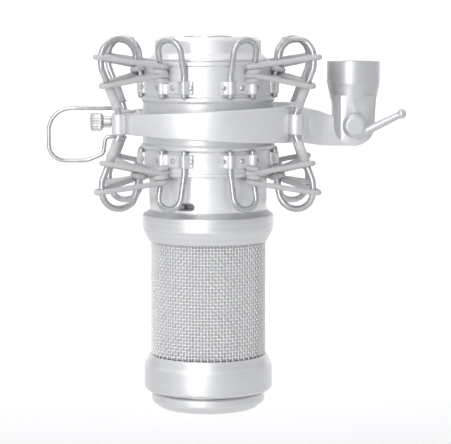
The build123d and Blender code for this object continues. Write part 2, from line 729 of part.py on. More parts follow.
with BuildPart() as yoke_arm:
    with BuildSketch(Plane.XZ):
        with BuildLine():
            Polyline(
                (-24.0, PIVOT_Z + 7.6),
                (-13.0, PIVOT_Z + 5.2),
                (-6.5, PIVOT_Z + 2.6),
                (0.0, PIVOT_Z),
                (0.0, PIVOT_Z - TONGUE_R),
                (-12.0, PIVOT_Z - 7.8),
                (-24.0, PIVOT_Z - 5.8),
                close=True,
            )
        make_face()
        with Locations((0, PIVOT_Z)):
            Circle(TONGUE_R)
    extrude(amount=12, both=True)
    with BuildSketch(Plane.XY.offset(PIVOT_Z - 10)):
        with BuildLine():
            Polyline(
                (-24.0, -9.0),
                (-12.0, -TONGUE_HALF),
                (10.0, -TONGUE_HALF),
                (10.0, TONGUE_HALF),
                (-12.0, TONGUE_HALF),
                (-24.0, 9.0),
                close=True,
            )
        make_face()
    extrude(amount=20, mode=Mode.INTERSECT)
    with BuildSketch(Plane(origin=(MIC_X, 0, RING_Z))):
        Circle(RING_R)
    extrude(amount=12, both=True, mode=Mode.SUBTRACT)
    with BuildSketch(Plane.XZ.offset(-12)):
        with Locations((0, PIVOT_Z)):
            Circle(BOLT_R + RUNNING)
    extrude(amount=24, mode=Mode.SUBTRACT)
    with BuildSketch(outward_plane(0, RING_IN_R, RING_Z)):
        with Locations((0, YOKE_SCREW_Z), (0, -YOKE_SCREW_Z)):
            Circle(1.5)
    extrude(amount=YOKE_SCREW_LENGTH, mode=Mode.SUBTRACT)
save(yoke_arm, "yoke_arm")

HEAD_SEAT = RING_IN_R - 0.12

with BuildPart() as yoke_screws:
    for z in (YOKE_SCREW_Z, -YOKE_SCREW_Z):
        with BuildSketch(outward_plane(0, HEAD_SEAT, RING_Z + z)):
            Circle(1.5)
        extrude(amount=YOKE_SCREW_LENGTH)
        with BuildSketch(outward_plane(0, HEAD_SEAT, RING_Z + z)):
            Circle(2.6)
        extrude(amount=-1.6)
        with BuildSketch(outward_plane(0, HEAD_SEAT - 1.6, RING_Z + z)):
            RegularPolygon(1.3, 6)
        extrude(amount=1.0, mode=Mode.SUBTRACT)
save(yoke_screws, "yoke_screws")

# ---------------------------------------------------------------- swivel and stand socket

with BuildPart() as socket_housing:
    with BuildSketch(Plane.XZ):
        with BuildLine():
            Polyline(
                (0, SOCKET_FLOOR),
                (8.6, SOCKET_FLOOR),
                (SOCKET_R, SOCKET_FLOOR + 6.5),
                (SOCKET_R, SOCKET_MOUTH - 0.8),
                (SOCKET_R - 0.8, SOCKET_MOUTH),
                (0, SOCKET_MOUTH),
                close=True,
            )
        make_face()
    revolve(axis=Axis.Z)
    with BuildSketch(Plane.XZ.offset(-EAR_OUT)):
        with BuildLine():
            Polyline(
                (-EAR_R, PIVOT_Z),
                (EAR_R, PIVOT_Z),
                (8.3, SOCKET_FLOOR + 2.0),
                (-8.3, SOCKET_FLOOR + 2.0),
                close=True,
            )
        make_face()
        with Locations((0, PIVOT_Z)):
            Circle(EAR_R)
    extrude(amount=2 * EAR_OUT)
    with BuildSketch(Plane.XY.offset(PIVOT_Z - 12)):
        Rectangle(30, 2 * EAR_IN)
    extrude(amount=SOCKET_FLOOR - PIVOT_Z + 12, mode=Mode.SUBTRACT)
    with BuildSketch(Plane.XY.offset(-THREAD_LENGTH / 2)):
        Circle(INSERT_R)
    extrude(amount=20, mode=Mode.SUBTRACT)
    with BuildSketch(Plane.XZ.offset(-12)):
        with Locations((0, PIVOT_Z)):
            Circle(BOLT_R)
    extrude(amount=24, mode=Mode.SUBTRACT)
save(socket_housing, "socket_housing")

with BuildPart() as thread_insert:
    with BuildSketch(Plane.XY.offset(-THREAD_LENGTH / 2)):
        Circle(INSERT_R)
        Circle(THREAD_R, mode=Mode.SUBTRACT)
    extrude(amount=THREAD_LENGTH)
save(thread_insert, "thread_insert")

with BuildPart() as friction_washers:
    for y in (TONGUE_HALF + 0.05, -EAR_IN):
        with BuildSketch(Plane.XZ.offset(-y)):
            with Locations((0, PIVOT_Z)):
                Circle(EAR_R - 0.6)
                Circle(BOLT_R, mode=Mode.SUBTRACT)
        extrude(amount=-(EAR_IN - TONGUE_HALF - 0.05))
save(friction_washers, "friction_washers")

with BuildPart() as pivot_bolt:
    with BuildSketch(Plane.XZ.offset(-EAR_OUT)):
        with Locations((0, PIVOT_Z)):
            Circle(BOLT_R)
    extrude(amount=EAR_OUT + LEVER_OUT - 1.4)
    with BuildSketch(Plane.XZ.offset(-EAR_OUT)):
        with Locations((0, PIVOT_Z)):
            RegularPolygon(4.6, 6)
    extrude(amount=-3.2)
save(pivot_bolt, "pivot_bolt")

lever_root = Vector(LEVER_ROOT[0], LEVER_ROOT_Y, PIVOT_Z + LEVER_ROOT[1])
lever_tip = Vector(LEVER_TIP[0], LEVER_TIP_Y, PIVOT_Z + LEVER_TIP[1])

with BuildPart() as clamp_lever:
    with BuildSketch(Plane.XZ.offset(LEVER_IN)):
        with Locations((0, PIVOT_Z)):
            Circle(LEVER_HUB_R)
    extrude(amount=LEVER_OUT - LEVER_IN)
    fillet(clamp_lever.edges().filter_by(GeomType.CIRCLE).group_by(Axis.Y)[0], radius=1.2)
    with BuildSketch(Plane(origin=lever_root, z_dir=lever_tip - lever_root)):
        Circle(LEVER_ROD_R)
    extrude(amount=(lever_tip - lever_root).length)
    with Locations(lever_tip):
        Sphere(LEVER_BALL_R)
    with BuildSketch(Plane.XZ.offset(LEVER_IN)):
        with Locations((0, PIVOT_Z)):
            Circle(BOLT_R + RUNNING)
    extrude(amount=LEVER_OUT - LEVER_IN - 1.2, mode=Mode.SUBTRACT)
save(clamp_lever, "clamp_lever")
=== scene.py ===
"""Looks of a condenser microphone in its shock mount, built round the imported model.

Units are metres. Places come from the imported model's boxes; MM turns the millimetre sizes of small
details into metres. The microphone's axis is vertical, at the centre of the body tube's box.
"""

import math

import bmesh
import bpy
from mathutils import Matrix, Vector, noise


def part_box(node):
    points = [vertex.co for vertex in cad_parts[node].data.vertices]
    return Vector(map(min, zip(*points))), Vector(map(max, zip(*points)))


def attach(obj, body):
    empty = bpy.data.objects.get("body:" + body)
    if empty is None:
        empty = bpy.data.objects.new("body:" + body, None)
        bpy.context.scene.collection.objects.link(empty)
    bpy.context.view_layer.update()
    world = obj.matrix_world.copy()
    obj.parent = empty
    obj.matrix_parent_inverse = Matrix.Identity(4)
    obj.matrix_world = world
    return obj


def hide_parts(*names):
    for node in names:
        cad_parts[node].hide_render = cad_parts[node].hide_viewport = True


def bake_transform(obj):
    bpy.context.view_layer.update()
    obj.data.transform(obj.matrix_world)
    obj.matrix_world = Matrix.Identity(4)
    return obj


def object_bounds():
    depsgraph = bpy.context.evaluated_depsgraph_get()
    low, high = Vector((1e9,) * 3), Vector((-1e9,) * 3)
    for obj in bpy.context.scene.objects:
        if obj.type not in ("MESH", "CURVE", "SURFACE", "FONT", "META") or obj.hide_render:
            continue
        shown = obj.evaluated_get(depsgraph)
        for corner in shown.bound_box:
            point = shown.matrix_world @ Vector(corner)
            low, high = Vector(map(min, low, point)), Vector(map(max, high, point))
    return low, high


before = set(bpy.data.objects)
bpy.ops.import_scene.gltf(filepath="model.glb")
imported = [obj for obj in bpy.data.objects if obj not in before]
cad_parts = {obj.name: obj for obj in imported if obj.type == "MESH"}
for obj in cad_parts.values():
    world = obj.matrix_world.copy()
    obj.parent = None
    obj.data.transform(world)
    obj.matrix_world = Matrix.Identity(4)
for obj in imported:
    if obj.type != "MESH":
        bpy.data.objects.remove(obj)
cad_low, cad_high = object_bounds()

MM = 0.001
UP = Vector((0, 0, 1))
FRONT_AZIMUTH = -112.0
HOOK_HALF = 4.8 * MM
HOOK_AZIMUTHS = (0, 60, 120, 180, 240, 300)
ARMS = {"right_back": 30, "right_front": -30, "left_back": 150, "left_front": 210}


# ------------------------------------------------------------------ the frame's own measures


def low(node, axis):
    """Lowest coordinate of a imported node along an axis, 0 to 2."""
    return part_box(node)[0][axis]


def high(node, axis):
    """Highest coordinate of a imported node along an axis, 0 to 2."""
    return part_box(node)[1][axis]


def middle(node):
    """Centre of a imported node's box."""
    lowest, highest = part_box(node)
    return (lowest + highest) / 2


MIC = Vector((middle("body_tube").x, middle("body_tube").y, 0))
RING = Vector((MIC.x, MIC.y, middle("hook_clamps").z))
BODY_R = (high("body_tube", 0) - low("body_tube", 0)) / 2
BAND_R = BODY_R + 2.3 * MM
GRILLE_R = (high("grille_mesh", 0) - low("grille_mesh", 0)) / 2
COLLAR_R = (high("collar", 0) - low("collar", 0)) / 2
CAP_R = (high("cap_ring", 0) - low("cap_ring", 0)) / 2
END_R = (high("end_cap", 0) - low("end_cap", 0)) / 2
PIVOT = Vector((0, 0, middle("friction_washers").z))


def polar(azimuth, radius, across=0.0, z=0.0):
    """Point at a radius and azimuth about the microphone's axis, at a height above the ring."""
    a = math.radians(azimuth)
    out = Vector((math.cos(a), math.sin(a), 0))
    side = Vector((-math.sin(a), math.cos(a), 0))
    return RING + out * radius + side * across + UP * z


# ------------------------------------------------------------------ mesh helpers


def new_object(name, verts, faces, sharp=35):
    """A smooth-shaded mesh object, with edges sharper than the angle left sharp."""
    mesh = bpy.data.meshes.new(name)
    mesh.from_pydata([tuple(v) for v in verts], [], faces)
    mesh.validate()
    obj = bpy.data.objects.new(name, mesh)
    bpy.context.scene.collection.objects.link(obj)
    smooth(obj, sharp)
    return obj


def smooth(obj, sharp=35):
    """Smooth shading with sharp edges by angle, and faces turned outward."""
    bm = bmesh.new()
    bm.from_mesh(obj.data)
    bmesh.ops.recalc_face_normals(bm, faces=bm.faces)
    bm.to_mesh(obj.data)
    bm.free()
    obj.data.polygons.foreach_set("use_smooth", [True] * len(obj.data.polygons))
    obj.data.set_sharp_from_angle(angle=math.radians(sharp))


def rounded(points, radii, closed=False, turn=9.0):
    """Corner points joined by straight runs, each corner rounded by an arc of its radius."""
    points = [Vector(p) for p in points]
    count = len(points)
    corners = list(range(count) if closed else range(1, count - 1))
    if not isinstance(radii, (list, tuple)):
        radii = [radii] * len(corners)
    reaches = [0.0] * count
    for corner, radius in zip(corners, radii):
        back = points[corner - 1] - points[corner]
        ahead = points[(corner + 1) % count] - points[corner]
        angle = back.angle(ahead)
        reaches[corner] = radius / math.tan(angle / 2) if angle < math.pi - 1e-3 else 0.0
    for i in range(count if closed else count - 1):
        j = (i + 1) % count
        room = (points[j] - points[i]).length * 0.999
        wanted = reaches[i] + reaches[j]
        if wanted > room:
            reaches[i] *= room / wanted
            reaches[j] *= room / wanted
    line = []
    for i, here in enumerate(points):
        reach = reaches[i]
        if reach < 1e-7:
            line.append(here)
            continue
        back = (points[i - 1] - here).normalized()
        ahead = (points[(i + 1) % count] - here).normalized()
        half = back.angle(ahead) / 2
        centre = here + (back + ahead).normalized() * (reach / math.cos(half))
        spoke = here + back * reach - centre
        axis = spoke.cross(here + ahead * reach - centre).normalized()
        bend = math.pi - 2 * half
        steps = max(2, round(math.degrees(bend) / turn))
        for k in range(steps + 1):
            line.append(centre + Matrix.Rotation(bend * k / steps, 3, axis) @ spoke)
    return line


def lathe(name, profile, at=None, around=128, radii=0.0, warp=None, sharp=35):
    """Revolves a closed profile of (radius, height) in metres about the z axis of a matrix."""
    at = at or Matrix.Translation(MIC)
    outline = rounded([(r, 0, z) for r, z in profile], radii, closed=True)
    verts, faces = [], []
    rows = len(outline)
    for i in range(around):
        a = 2 * math.pi * i / around
        for p in outline:
            r = p.x + (warp(a, p.x, p.z) if warp else 0.0)
            verts.append(at @ Vector((r * math.cos(a), r * math.sin(a), p.z)))
    for i in range(around):
        for j in range(rows):
            k = (j + 1) % rows
            n = (i + 1) % around
            faces.append((i * rows + j, n * rows + j, n * rows + k, i * rows + k))
    obj = new_object(name, verts, faces, sharp)
    clean(obj)
    return obj


def clean(obj, gap=1e-6):
    """Welds corners that lie together, as on a lathe's axis, and drops flat faces."""
    bm = bmesh.new()
    bm.from_mesh(obj.data)
    bmesh.ops.remove_doubles(bm, verts=bm.verts, dist=gap)
    bmesh.ops.dissolve_degenerate(bm, edges=bm.edges, dist=gap)
    bm.to_mesh(obj.data)
    bm.free()


def frames(path, closed):
    """Tangents and twist-free normals along a line of points."""
    count = len(path)
    tangents = []
    for i in range(count):
        back = path[i - 1] if closed or i else path[i]
        ahead = path[(i + 1) % count] if closed or i < count - 1 else path[i]
        tangents.append((ahead - back).normalized())
    normal = tangents[0].orthogonal().normalized()
    normals = [normal]
    for before, after in zip(tangents, tangents[1:]):
        normal = before.rotation_difference(after) @ normal
        normals.append((normal - after * normal.dot(after)).normalized())
    return tangents, normals


def tube(name, path, radius, sides=14, closed=False, dome=True):
    """A round tube along a line of points. Its radius is a number or a function of the length."""
    path = [p.copy() for p in path]
    tangents, normals = frames(path, closed)
    twist = 0.0
    if closed:
        carried = tangents[-1].rotation_difference(tangents[0]) @ normals[-1]
        twist = carried.angle(normals[0])
        if carried.cross(normals[0]).dot(tangents[0]) < 0:
            twist = -twist
    lengths = [0.0]
    for before, after in zip(path, path[1:]):
        lengths.append(lengths[-1] + (after - before).length)
    rings = []
    count = len(path)
    for i, (p, t, n) in enumerate(zip(path, tangents, normals)):
        n = Matrix.Rotation(twist * i / count, 3, t) @ n
        r = radius(lengths[i]) if callable(radius) else radius
        rings.append((p, n, t.cross(n), r, lengths[i]))
    if not closed and dome:
        rings = dome_rings(rings, tangents)
    verts, faces = [], []
    for p, n, b, r, _ in rings:
        for k in range(sides):
            a = 2 * math.pi * k / sides
            verts.append(p + (n * math.cos(a) + b * math.sin(a)) * r)
    rows = len(rings)
    for i in range(rows if closed else rows - 1):
        j = (i + 1) % rows
        for k in range(sides):
            m = (k + 1) % sides
            faces.append((i * sides + k, i * sides + m, j * sides + m, j * sides + k))
    if not closed:
        faces.append(tuple(reversed(range(sides))))
        faces.append(tuple((rows - 1) * sides + k for k in range(sides)))
    obj = new_object(name, verts, faces, sharp=50)
    lay_uvs(obj, rings, sides)
    return obj


def lay_uvs(obj, rings, sides):
    """UVs of a tube: u once round it, v its length in metres."""
    layer = obj.data.uv_layers.new(name="along")
    for polygon in obj.data.polygons:
        columns = [obj.data.loops[i].vertex_index % sides for i in polygon.loop_indices]
        wraps = max(columns) - min(columns) > sides / 2
        for i, column in zip(polygon.loop_indices, columns):
            row = obj.data.loops[i].vertex_index // sides
            u = 1.0 if wraps and column == 0 else column / sides
            layer.data[i].uv = (u, rings[row][4])


def dome_rings(rings, tangents):
    """Adds rings that round off both ends of a tube."""
    ends = []
    for ring, t in ((rings[0], -tangents[0]), (rings[-1], tangents[-1])):
        p, n, b, r, length = ring
        caps = []
        for k in range(1, 5):
            a = k / 4.3 * math.pi / 2
            caps.append((p + t * r * 0.7 * math.sin(a), n, b, r * math.cos(a), length))
        ends.append(caps)
    return list(reversed(ends[0])) + rings + ends[1]


def join(name, objects):
    """One object out of several mesh objects."""
    mesh = bpy.data.meshes.new(name)
    bm = bmesh.new()
    for obj in objects:
        bm.from_mesh(obj.data)
    bm.to_mesh(mesh)
    bm.free()
    for obj in objects:
        bpy.data.objects.remove(obj)
    joined = bpy.data.objects.new(name, mesh)
    bpy.context.scene.collection.objects.link(joined)
    return joined


def combine(obj, other, how, sharp=35):
    """Unites obj with another object, or cuts the other out of it, and uses the other up."""
    tool = obj.modifiers.new("combine", "BOOLEAN")
    tool.operation = how
    tool.solver = "EXACT"
    tool.object = other
    apply_modifiers(obj)
    bpy.data.objects.remove(other)
    clean(obj)
    smooth(obj, sharp)
    return obj


def bevel(obj, width, segments=3, angle=30, sharp=35):
    """Rounds an object's sharp edges."""
    tool = obj.modifiers.new("bevel", "BEVEL")
    tool.width = width
    tool.segments = segments
    tool.limit_method = "ANGLE"
    tool.angle_limit = math.radians(angle)
    tool.use_clamp_overlap = True
    apply_modifiers(obj)
    smooth(obj, sharp)
    return obj


def apply_modifiers(obj):
    """Replaces an object's mesh with its mesh after modifiers."""
    graph = bpy.context.evaluated_depsgraph_get()
    mesh = bpy.data.meshes.new_from_object(obj.evaluated_get(graph))
    obj.modifiers.clear()
    old = obj.data
    obj.data = mesh
    bpy.data.meshes.remove(old)


def slab(name, outline, thickness, at, split=None):
    """A flat outline in the matrix's x and y, thickened along its z by (low, high)."""
    bm = bmesh.new()
    corners = [bm.verts.new((p[0], p[1], thickness[0])) for p in outline]
    face = bm.faces.new(corners)
    if split is not None:
        bmesh.ops.bisect_plane(
            bm, geom=bm.verts[:] + bm.edges[:] + bm.faces[:], plane_co=(split, 0, 0), plane_no=(1, 0, 0)
        )
    made = bmesh.ops.extrude_face_region(bm, geom=bm.faces[:])
    for v in made["geom"]:
        if isinstance(v, bmesh.types.BMVert):
            v.co.z = thickness[1]
    bm.transform(at)
    mesh = bpy.data.meshes.new(name)
    bm.to_mesh(mesh)
    bm.free()
    obj = bpy.data.objects.new(name, mesh)
    bpy.context.scene.collection.objects.link(obj)
    smooth(obj)
    return obj


def aim(origin, direction, x_dir=None):
    """Matrix that puts local z along a direction from an origin."""
    z = Vector(direction).normalized()
    x = Vector(x_dir).normalized() if x_dir else z.orthogonal().normalized()
    y = z.cross(x)
    turn = Matrix((x, y, z)).transposed().to_4x4()
    return Matrix.Translation(origin) @ turn


def circle(radius, count=48, centre=(0.0, 0.0)):
    """Points of a circle."""
    return [
        (
            centre[0] + radius * math.cos(2 * math.pi * k / count),
            centre[1] + radius * math.sin(2 * math.pi * k / count),
        )
        for k in range(count)
    ]


def place(piece, body, slot, look, *nodes):
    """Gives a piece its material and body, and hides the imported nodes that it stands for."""
    piece.data.materials.clear()
    piece.data.materials.append(look)
    if nodes:
        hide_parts(*nodes)
    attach(piece, body)
    return piece


# ------------------------------------------------------------------ materials


class Look:
    """A node material that is built up a step at a time."""

    def __init__(self, name, color, roughness, metallic=0.0):
        self.mat = bpy.data.materials.new(name)
        self.mat.use_nodes = True
        self.mat.diffuse_color = (*color, 1)
        self.nodes = self.mat.node_tree.nodes
        self.links = self.mat.node_tree.links
        self.bsdf = self.nodes["Principled BSDF"]
        self.color = color
        self.roughness = roughness
        self.bsdf.inputs["Base Color"].default_value = (*color, 1)
        self.bsdf.inputs["Roughness"].default_value = roughness
        self.bsdf.inputs["Metallic"].default_value = metallic
        self.normal = None

    def node(self, kind, **values):
        """A node with some of its inputs set by name or number."""
        made = self.nodes.new(kind)
        for key, value in values.items():
            if key.startswith("in_"):
                made.inputs[int(key[3:])].default_value = value
            else:
                setattr(made, key, value)
        return made

    def math(self, operation, a, b=None):
        """A math node on sockets or numbers."""
        made = self.node("ShaderNodeMath", operation=operation)
        for i, value in enumerate((a, b)):
            if isinstance(value, (int, float)):
                made.inputs[i].default_value = value
            elif value is not None:
                self.links.new(value, made.inputs[i])
        return made.outputs[0]

    def coords(self, stretch=(1, 1, 1), uv=False):
        """Object coordinates, or a tube's own coordinates, stretched."""
        source = self.node("ShaderNodeTexCoord").outputs["UV" if uv else "Object"]
        mapping = self.node("ShaderNodeMapping")
        mapping.inputs["Scale"].default_value = stretch
        self.links.new(source, mapping.inputs["Vector"])
        return mapping.outputs[0]

    def turned_coords(self):
        """Distance from the microphone's axis and height, so that noise makes lathe marks."""
        place = self.node("ShaderNodeSeparateXYZ")
        self.links.new(self.coords(), place.inputs[0])
        x = self.math("SUBTRACT", place.outputs[0], MIC.x)
        y = self.math("SUBTRACT", place.outputs[1], MIC.y)
        r = self.math("SQRT", self.math("ADD", self.math("MULTIPLY", x, x), self.math("MULTIPLY", y, y)))
        out = self.node("ShaderNodeCombineXYZ")
        self.links.new(r, out.inputs[0])
        self.links.new(place.outputs[2], out.inputs[2])
        return out.outputs[0]

    def noise(self, coords, scale, detail=3.0):
        """Noise from 0 to 1 at a scale in marks a metre."""
        made = self.node("ShaderNodeTexNoise")
        made.inputs["Scale"].default_value = scale
        made.inputs["Detail"].default_value = detail
        self.links.new(coords, made.inputs["Vector"])
        return made.outputs["Fac"]

    def bump(self, height, strength, distance):
        """Adds a height to the surface's normal, over what is there already."""
        made = self.node("ShaderNodeBump")
        made.inputs["Strength"].default_value = strength
        made.inputs["Distance"].default_value = distance
        self.links.new(height, made.inputs["Height"])
        if self.normal:
            self.links.new(self.normal, made.inputs["Normal"])
        self.normal = made.outputs[0]
        self.links.new(self.normal, self.bsdf.inputs["Normal"])
        return self

    def mottle(self, fac, share, rough_by=0.0):
        """Varies the colour by a share of itself and the roughness by an amount, with a 0 to 1 input."""
        dark = tuple(c * (1 - share) for c in self.color)
        light = tuple(min(1.0, c * (1 + share)) for c in self.color)
        self.blend(fac, dark, light)
        if rough_by:
            spread = self.node("ShaderNodeMapRange")
            spread.inputs["From Min"].default_value = 0.3
            spread.inputs["From Max"].default_value = 0.7
            spread.inputs["To Min"].default_value = self.roughness - rough_by
            spread.inputs["To Max"].default_value = self.roughness + rough_by
            self.links.new(fac, spread.inputs["Value"])
            self.links.new(spread.outputs[0], self.bsdf.inputs["Roughness"])
        return self

    def blend(self, fac, dark, light, low_at=0.3, high_at=0.7):
        """Sets the base colour to a ramp between two colours."""
        ramp = self.node("ShaderNodeValToRGB")
        ramp.color_ramp.elements[0].position = low_at
        ramp.color_ramp.elements[0].color = (*dark, 1)
        ramp.color_ramp.elements[1].position = high_at
        ramp.color_ramp.elements[1].color = (*light, 1)
        self.links.new(fac, ramp.inputs[0])
        self.links.new(ramp.outputs[0], self.bsdf.inputs["Base Color"])
        return self

    def worn(self, shine, share=0.6, low_at=0.52, high_at=0.6):
        """Lightens the base colour where the surface is most convex, as handling does."""
        ramp = self.node("ShaderNodeMapRange")
        ramp.inputs["From Min"].default_value = low_at
        ramp.inputs["From Max"].default_value = high_at
        ramp.inputs["To Max"].default_value = share
        geometry = self.node("ShaderNodeNewGeometry")
        self.links.new(geometry.outputs["Pointiness"], ramp.inputs["Value"])
        mix = self.node("ShaderNodeMix", data_type="RGBA")
        before = self.bsdf.inputs["Base Color"]
        if before.is_linked:
            self.links.new(before.links[0].from_socket, mix.inputs[6])
        else:
            mix.inputs[6].default_value = before.default_value
        mix.inputs[7].default_value = (*shine, 1)
        self.links.new(ramp.outputs[0], mix.inputs[0])
        self.links.new(mix.outputs[2], before)
        return self


def satin_silver():
    """Bead-blasted, lacquered body metal: fine sparkle grain, faint handling marks."""
    look = Look("satin_silver", (0.87, 0.873, 0.88), 0.4, 0.8)
    look.bump(look.noise(look.coords(), 5200, 2), 0.22, 0.00006)
    look.bump(look.noise(look.coords((1, 1, 0.25)), 420, 4), 0.05, 0.0002)
    look.mottle(look.noise(look.coords(), 90, 4), 0.035, 0.05)
    return look.worn((0.86, 0.865, 0.87)).mat


def turned_silver(name, color, roughness):
    """Bright metal with the fine rings that a lathe leaves."""
    look = Look(name, color, roughness, 1.0)
    look.bump(look.noise(look.turned_coords(), 5200, 3), 0.16, 0.00005)
    look.mottle(look.noise(look.turned_coords(), 900, 5), 0.04, 0.05)
    return look.worn((0.9, 0.905, 0.91)).mat


def mesh_wire():
    """Plated wire of the outer grille, its tone and dullness varied at random."""
    look = Look("mesh_wire", (0.93, 0.932, 0.938), 0.38, 0.8)
    look.bump(look.noise(look.coords(), 9000, 2), 0.1, 0.00003)
    look.mottle(look.noise(look.coords(), 700, 3), 0.08, 0.06)
    return look.mat


def fine_weave():
    """The fine inner mesh, seen as a close weave round the axis."""
    look = Look("fine_weave", (0.8, 0.803, 0.81), 0.55, 0.3)
    place_at = look.node("ShaderNodeSeparateXYZ")
    look.links.new(look.coords(), place_at.inputs[0])
    x = look.math("SUBTRACT", place_at.outputs[0], MIC.x)
    y = look.math("SUBTRACT", place_at.outputs[1], MIC.y)
    angle = look.math("ARCTAN2", y, x)
    across = look.math("SINE", look.math("MULTIPLY", angle, 280.0))
    along = look.math("SINE", look.math("MULTIPLY", place_at.outputs[2], 14000.0))
    weave = look.math("MULTIPLY_ADD", across, along)
    weave.node.inputs[2].default_value = 0.5
    look.blend(weave, (0.62, 0.623, 0.63), (0.93, 0.932, 0.938), 0.0, 1.0)
    return look.bump(weave, 0.5, 0.0001).mat


def frame_paint(name, color, roughness):
    """Satin metallic paint with a slight orange peel, rubbed lighter on its edges."""
    look = Look(name, color, roughness, 0.75)
    look.bump(look.noise(look.coords(), 1900, 2), 0.1, 0.0001)
    look.bump(look.noise(look.coords(), 6500, 1), 0.08, 0.00003)
    look.mottle(look.noise(look.coords(), 900, 5), 0.03, 0.04)
    return look.worn(tuple(min(1, c * 1.2) for c in color), 0.5).mat


def steel_wire():
    """Plated spring wire, drawn lengthways and scuffed in places."""
    look = Look("steel_wire", (0.55, 0.555, 0.565), 0.26, 1.0)
    look.bump(look.noise(look.coords((40, 60, 1), uv=True), 30, 3), 0.08, 0.00004)
    look.mottle(look.noise(look.coords(), 260, 5), 0.12, 0.08)
    return look.mat


def braided_cord():
    """Elastic cord: a braided sleeve of yarns that cross, with painted shade in the grooves between them and a painted
    highlight on their crowns.
    """
    look = Look("braided_cord", (0.5, 0.5, 0.51), 0.82, 0.0)
    look.bsdf.inputs["Sheen Weight"].default_value = 0.25
    place_at = look.node("ShaderNodeSeparateXYZ")
    look.links.new(look.coords(uv=True), place_at.inputs[0])
    turns = look.math("MULTIPLY", place_at.outputs[0], 8.0 * math.pi)
    length = look.math("MULTIPLY", place_at.outputs[1], 2 * math.pi / (1.5 * MM) * 2)
    one = look.math("SINE", look.math("ADD", turns, length))
    other = look.math("SINE", look.math("SUBTRACT", turns, length))
    braid = look.math("MULTIPLY_ADD", look.math("MAXIMUM", one, other), 0.5)
    braid.node.inputs[2].default_value = 0.5
    # painted shade and highlight: the braid's height darkens the grooves between the yarns and lightens their crowns
    look.blend(braid, (0.46, 0.46, 0.465), (0.7, 0.7, 0.71), 0.35, 0.9)
    look.bump(braid, 0.9, 0.0003)
    return look.bump(look.noise(look.coords(), 9000, 3), 0.3, 0.0001).mat


def rubber(name, color, roughness=0.62):
    """Moulded rubber with a dull, dusty surface."""
    look = Look(name, color, roughness, 0.0)
    look.bump(look.noise(look.coords(), 3800, 3), 0.2, 0.0001)
    return look.mottle(look.noise(look.coords(), 300, 4), 0.14, 0.06).mat


def plastic(name, color, roughness=0.4):
    """Moulded plastic with a fine spark-eroded texture."""
    look = Look(name, color, roughness, 0.0)
    look.bump(look.noise(look.coords(), 4200, 2), 0.12, 0.00006)
    return look.mottle(look.noise(look.coords(), 200, 3), 0.08, 0.05).mat


def bright_metal(name, color, roughness, grain=3000):
    """Plated or machined metal with fine scratches."""
    look = Look(name, color, roughness, 1.0)
    look.bump(look.noise(look.coords((1, 1, 0.15)), grain, 4), 0.08, 0.00004)
    return look.mottle(look.noise(look.coords(), 400, 4), 0.06, 0.05).mat


def foam():
    """Open-cell foam."""
    look = Look("foam", (0.3, 0.3, 0.31), 0.95, 0.0)
    cells = look.node("ShaderNodeTexVoronoi")
    cells.inputs["Scale"].default_value = 1600
    look.links.new(look.coords(), cells.inputs["Vector"])
    look.blend(cells.outputs["Distance"], (0.1, 0.1, 0.105), (0.36, 0.36, 0.37), 0.1, 0.6)
    return look.bump(cells.outputs["Distance"], 0.8, 0.0003).mat


def board():
    """Circuit board: green resist over faint copper tracks."""
    look = Look("circuit_board", (0.05, 0.22, 0.11), 0.35, 0.0)
    tracks = look.node("ShaderNodeTexBrick")
    tracks.inputs["Scale"].default_value = 260
    tracks.inputs["Mortar Size"].default_value = 0.06
    look.links.new(look.coords(), tracks.inputs["Vector"])
    look.blend(tracks.outputs["Fac"], (0.04, 0.2, 0.1), (0.09, 0.32, 0.16), 0.4, 0.6)
    return look.bump(tracks.outputs["Fac"], 0.3, 0.00004).mat


LOOKS = {
    "satin_silver": satin_silver(),
    "polished_silver": turned_silver("polished_silver", (0.77, 0.775, 0.782), 0.4),
    "silver_mesh": mesh_wire(),
    "fine_weave": fine_weave(),
    "dark_steel": bright_metal("dark_steel", (0.34, 0.345, 0.35), 0.35),
    "foam": foam(),
    "board_green": board(),
    "aluminium_frame": bright_metal("aluminium_frame", (0.62, 0.625, 0.635), 0.4),
    "black_plastic": plastic("black_plastic", (0.05, 0.05, 0.055)),
    "switch_plastic": plastic("switch_plastic", (0.3, 0.3, 0.305)),
    "capsule_brass": bright_metal("capsule_brass", (0.7, 0.52, 0.25), 0.32),
    "gold_film": bright_metal("gold_film", (0.86, 0.64, 0.26), 0.16),
    "rubber": rubber("rubber", (0.54, 0.54, 0.55)),
    "nickel": bright_metal("nickel", (0.7, 0.7, 0.69), 0.2),
    "bright_rivet": bright_metal("bright_rivet", (0.6, 0.605, 0.61), 0.25),
    "component_black": plastic("component_black", (0.06, 0.06, 0.07), 0.25),
    "painted_frame": frame_paint("painted_frame", (0.77, 0.775, 0.782), 0.4),
    "steel_wire": steel_wire(),
    "elastic_cord": braided_cord(),
    "socket_paint": frame_paint("socket_paint", (0.62, 0.625, 0.635), 0.4),
    "thread_brass": bright_metal("thread_brass", (0.76, 0.68, 0.5), 0.28),
    "washer_fibre": plastic("washer_fibre", (0.28, 0.14, 0.08), 0.7),
}


# ------------------------------------------------------------------ microphone housing


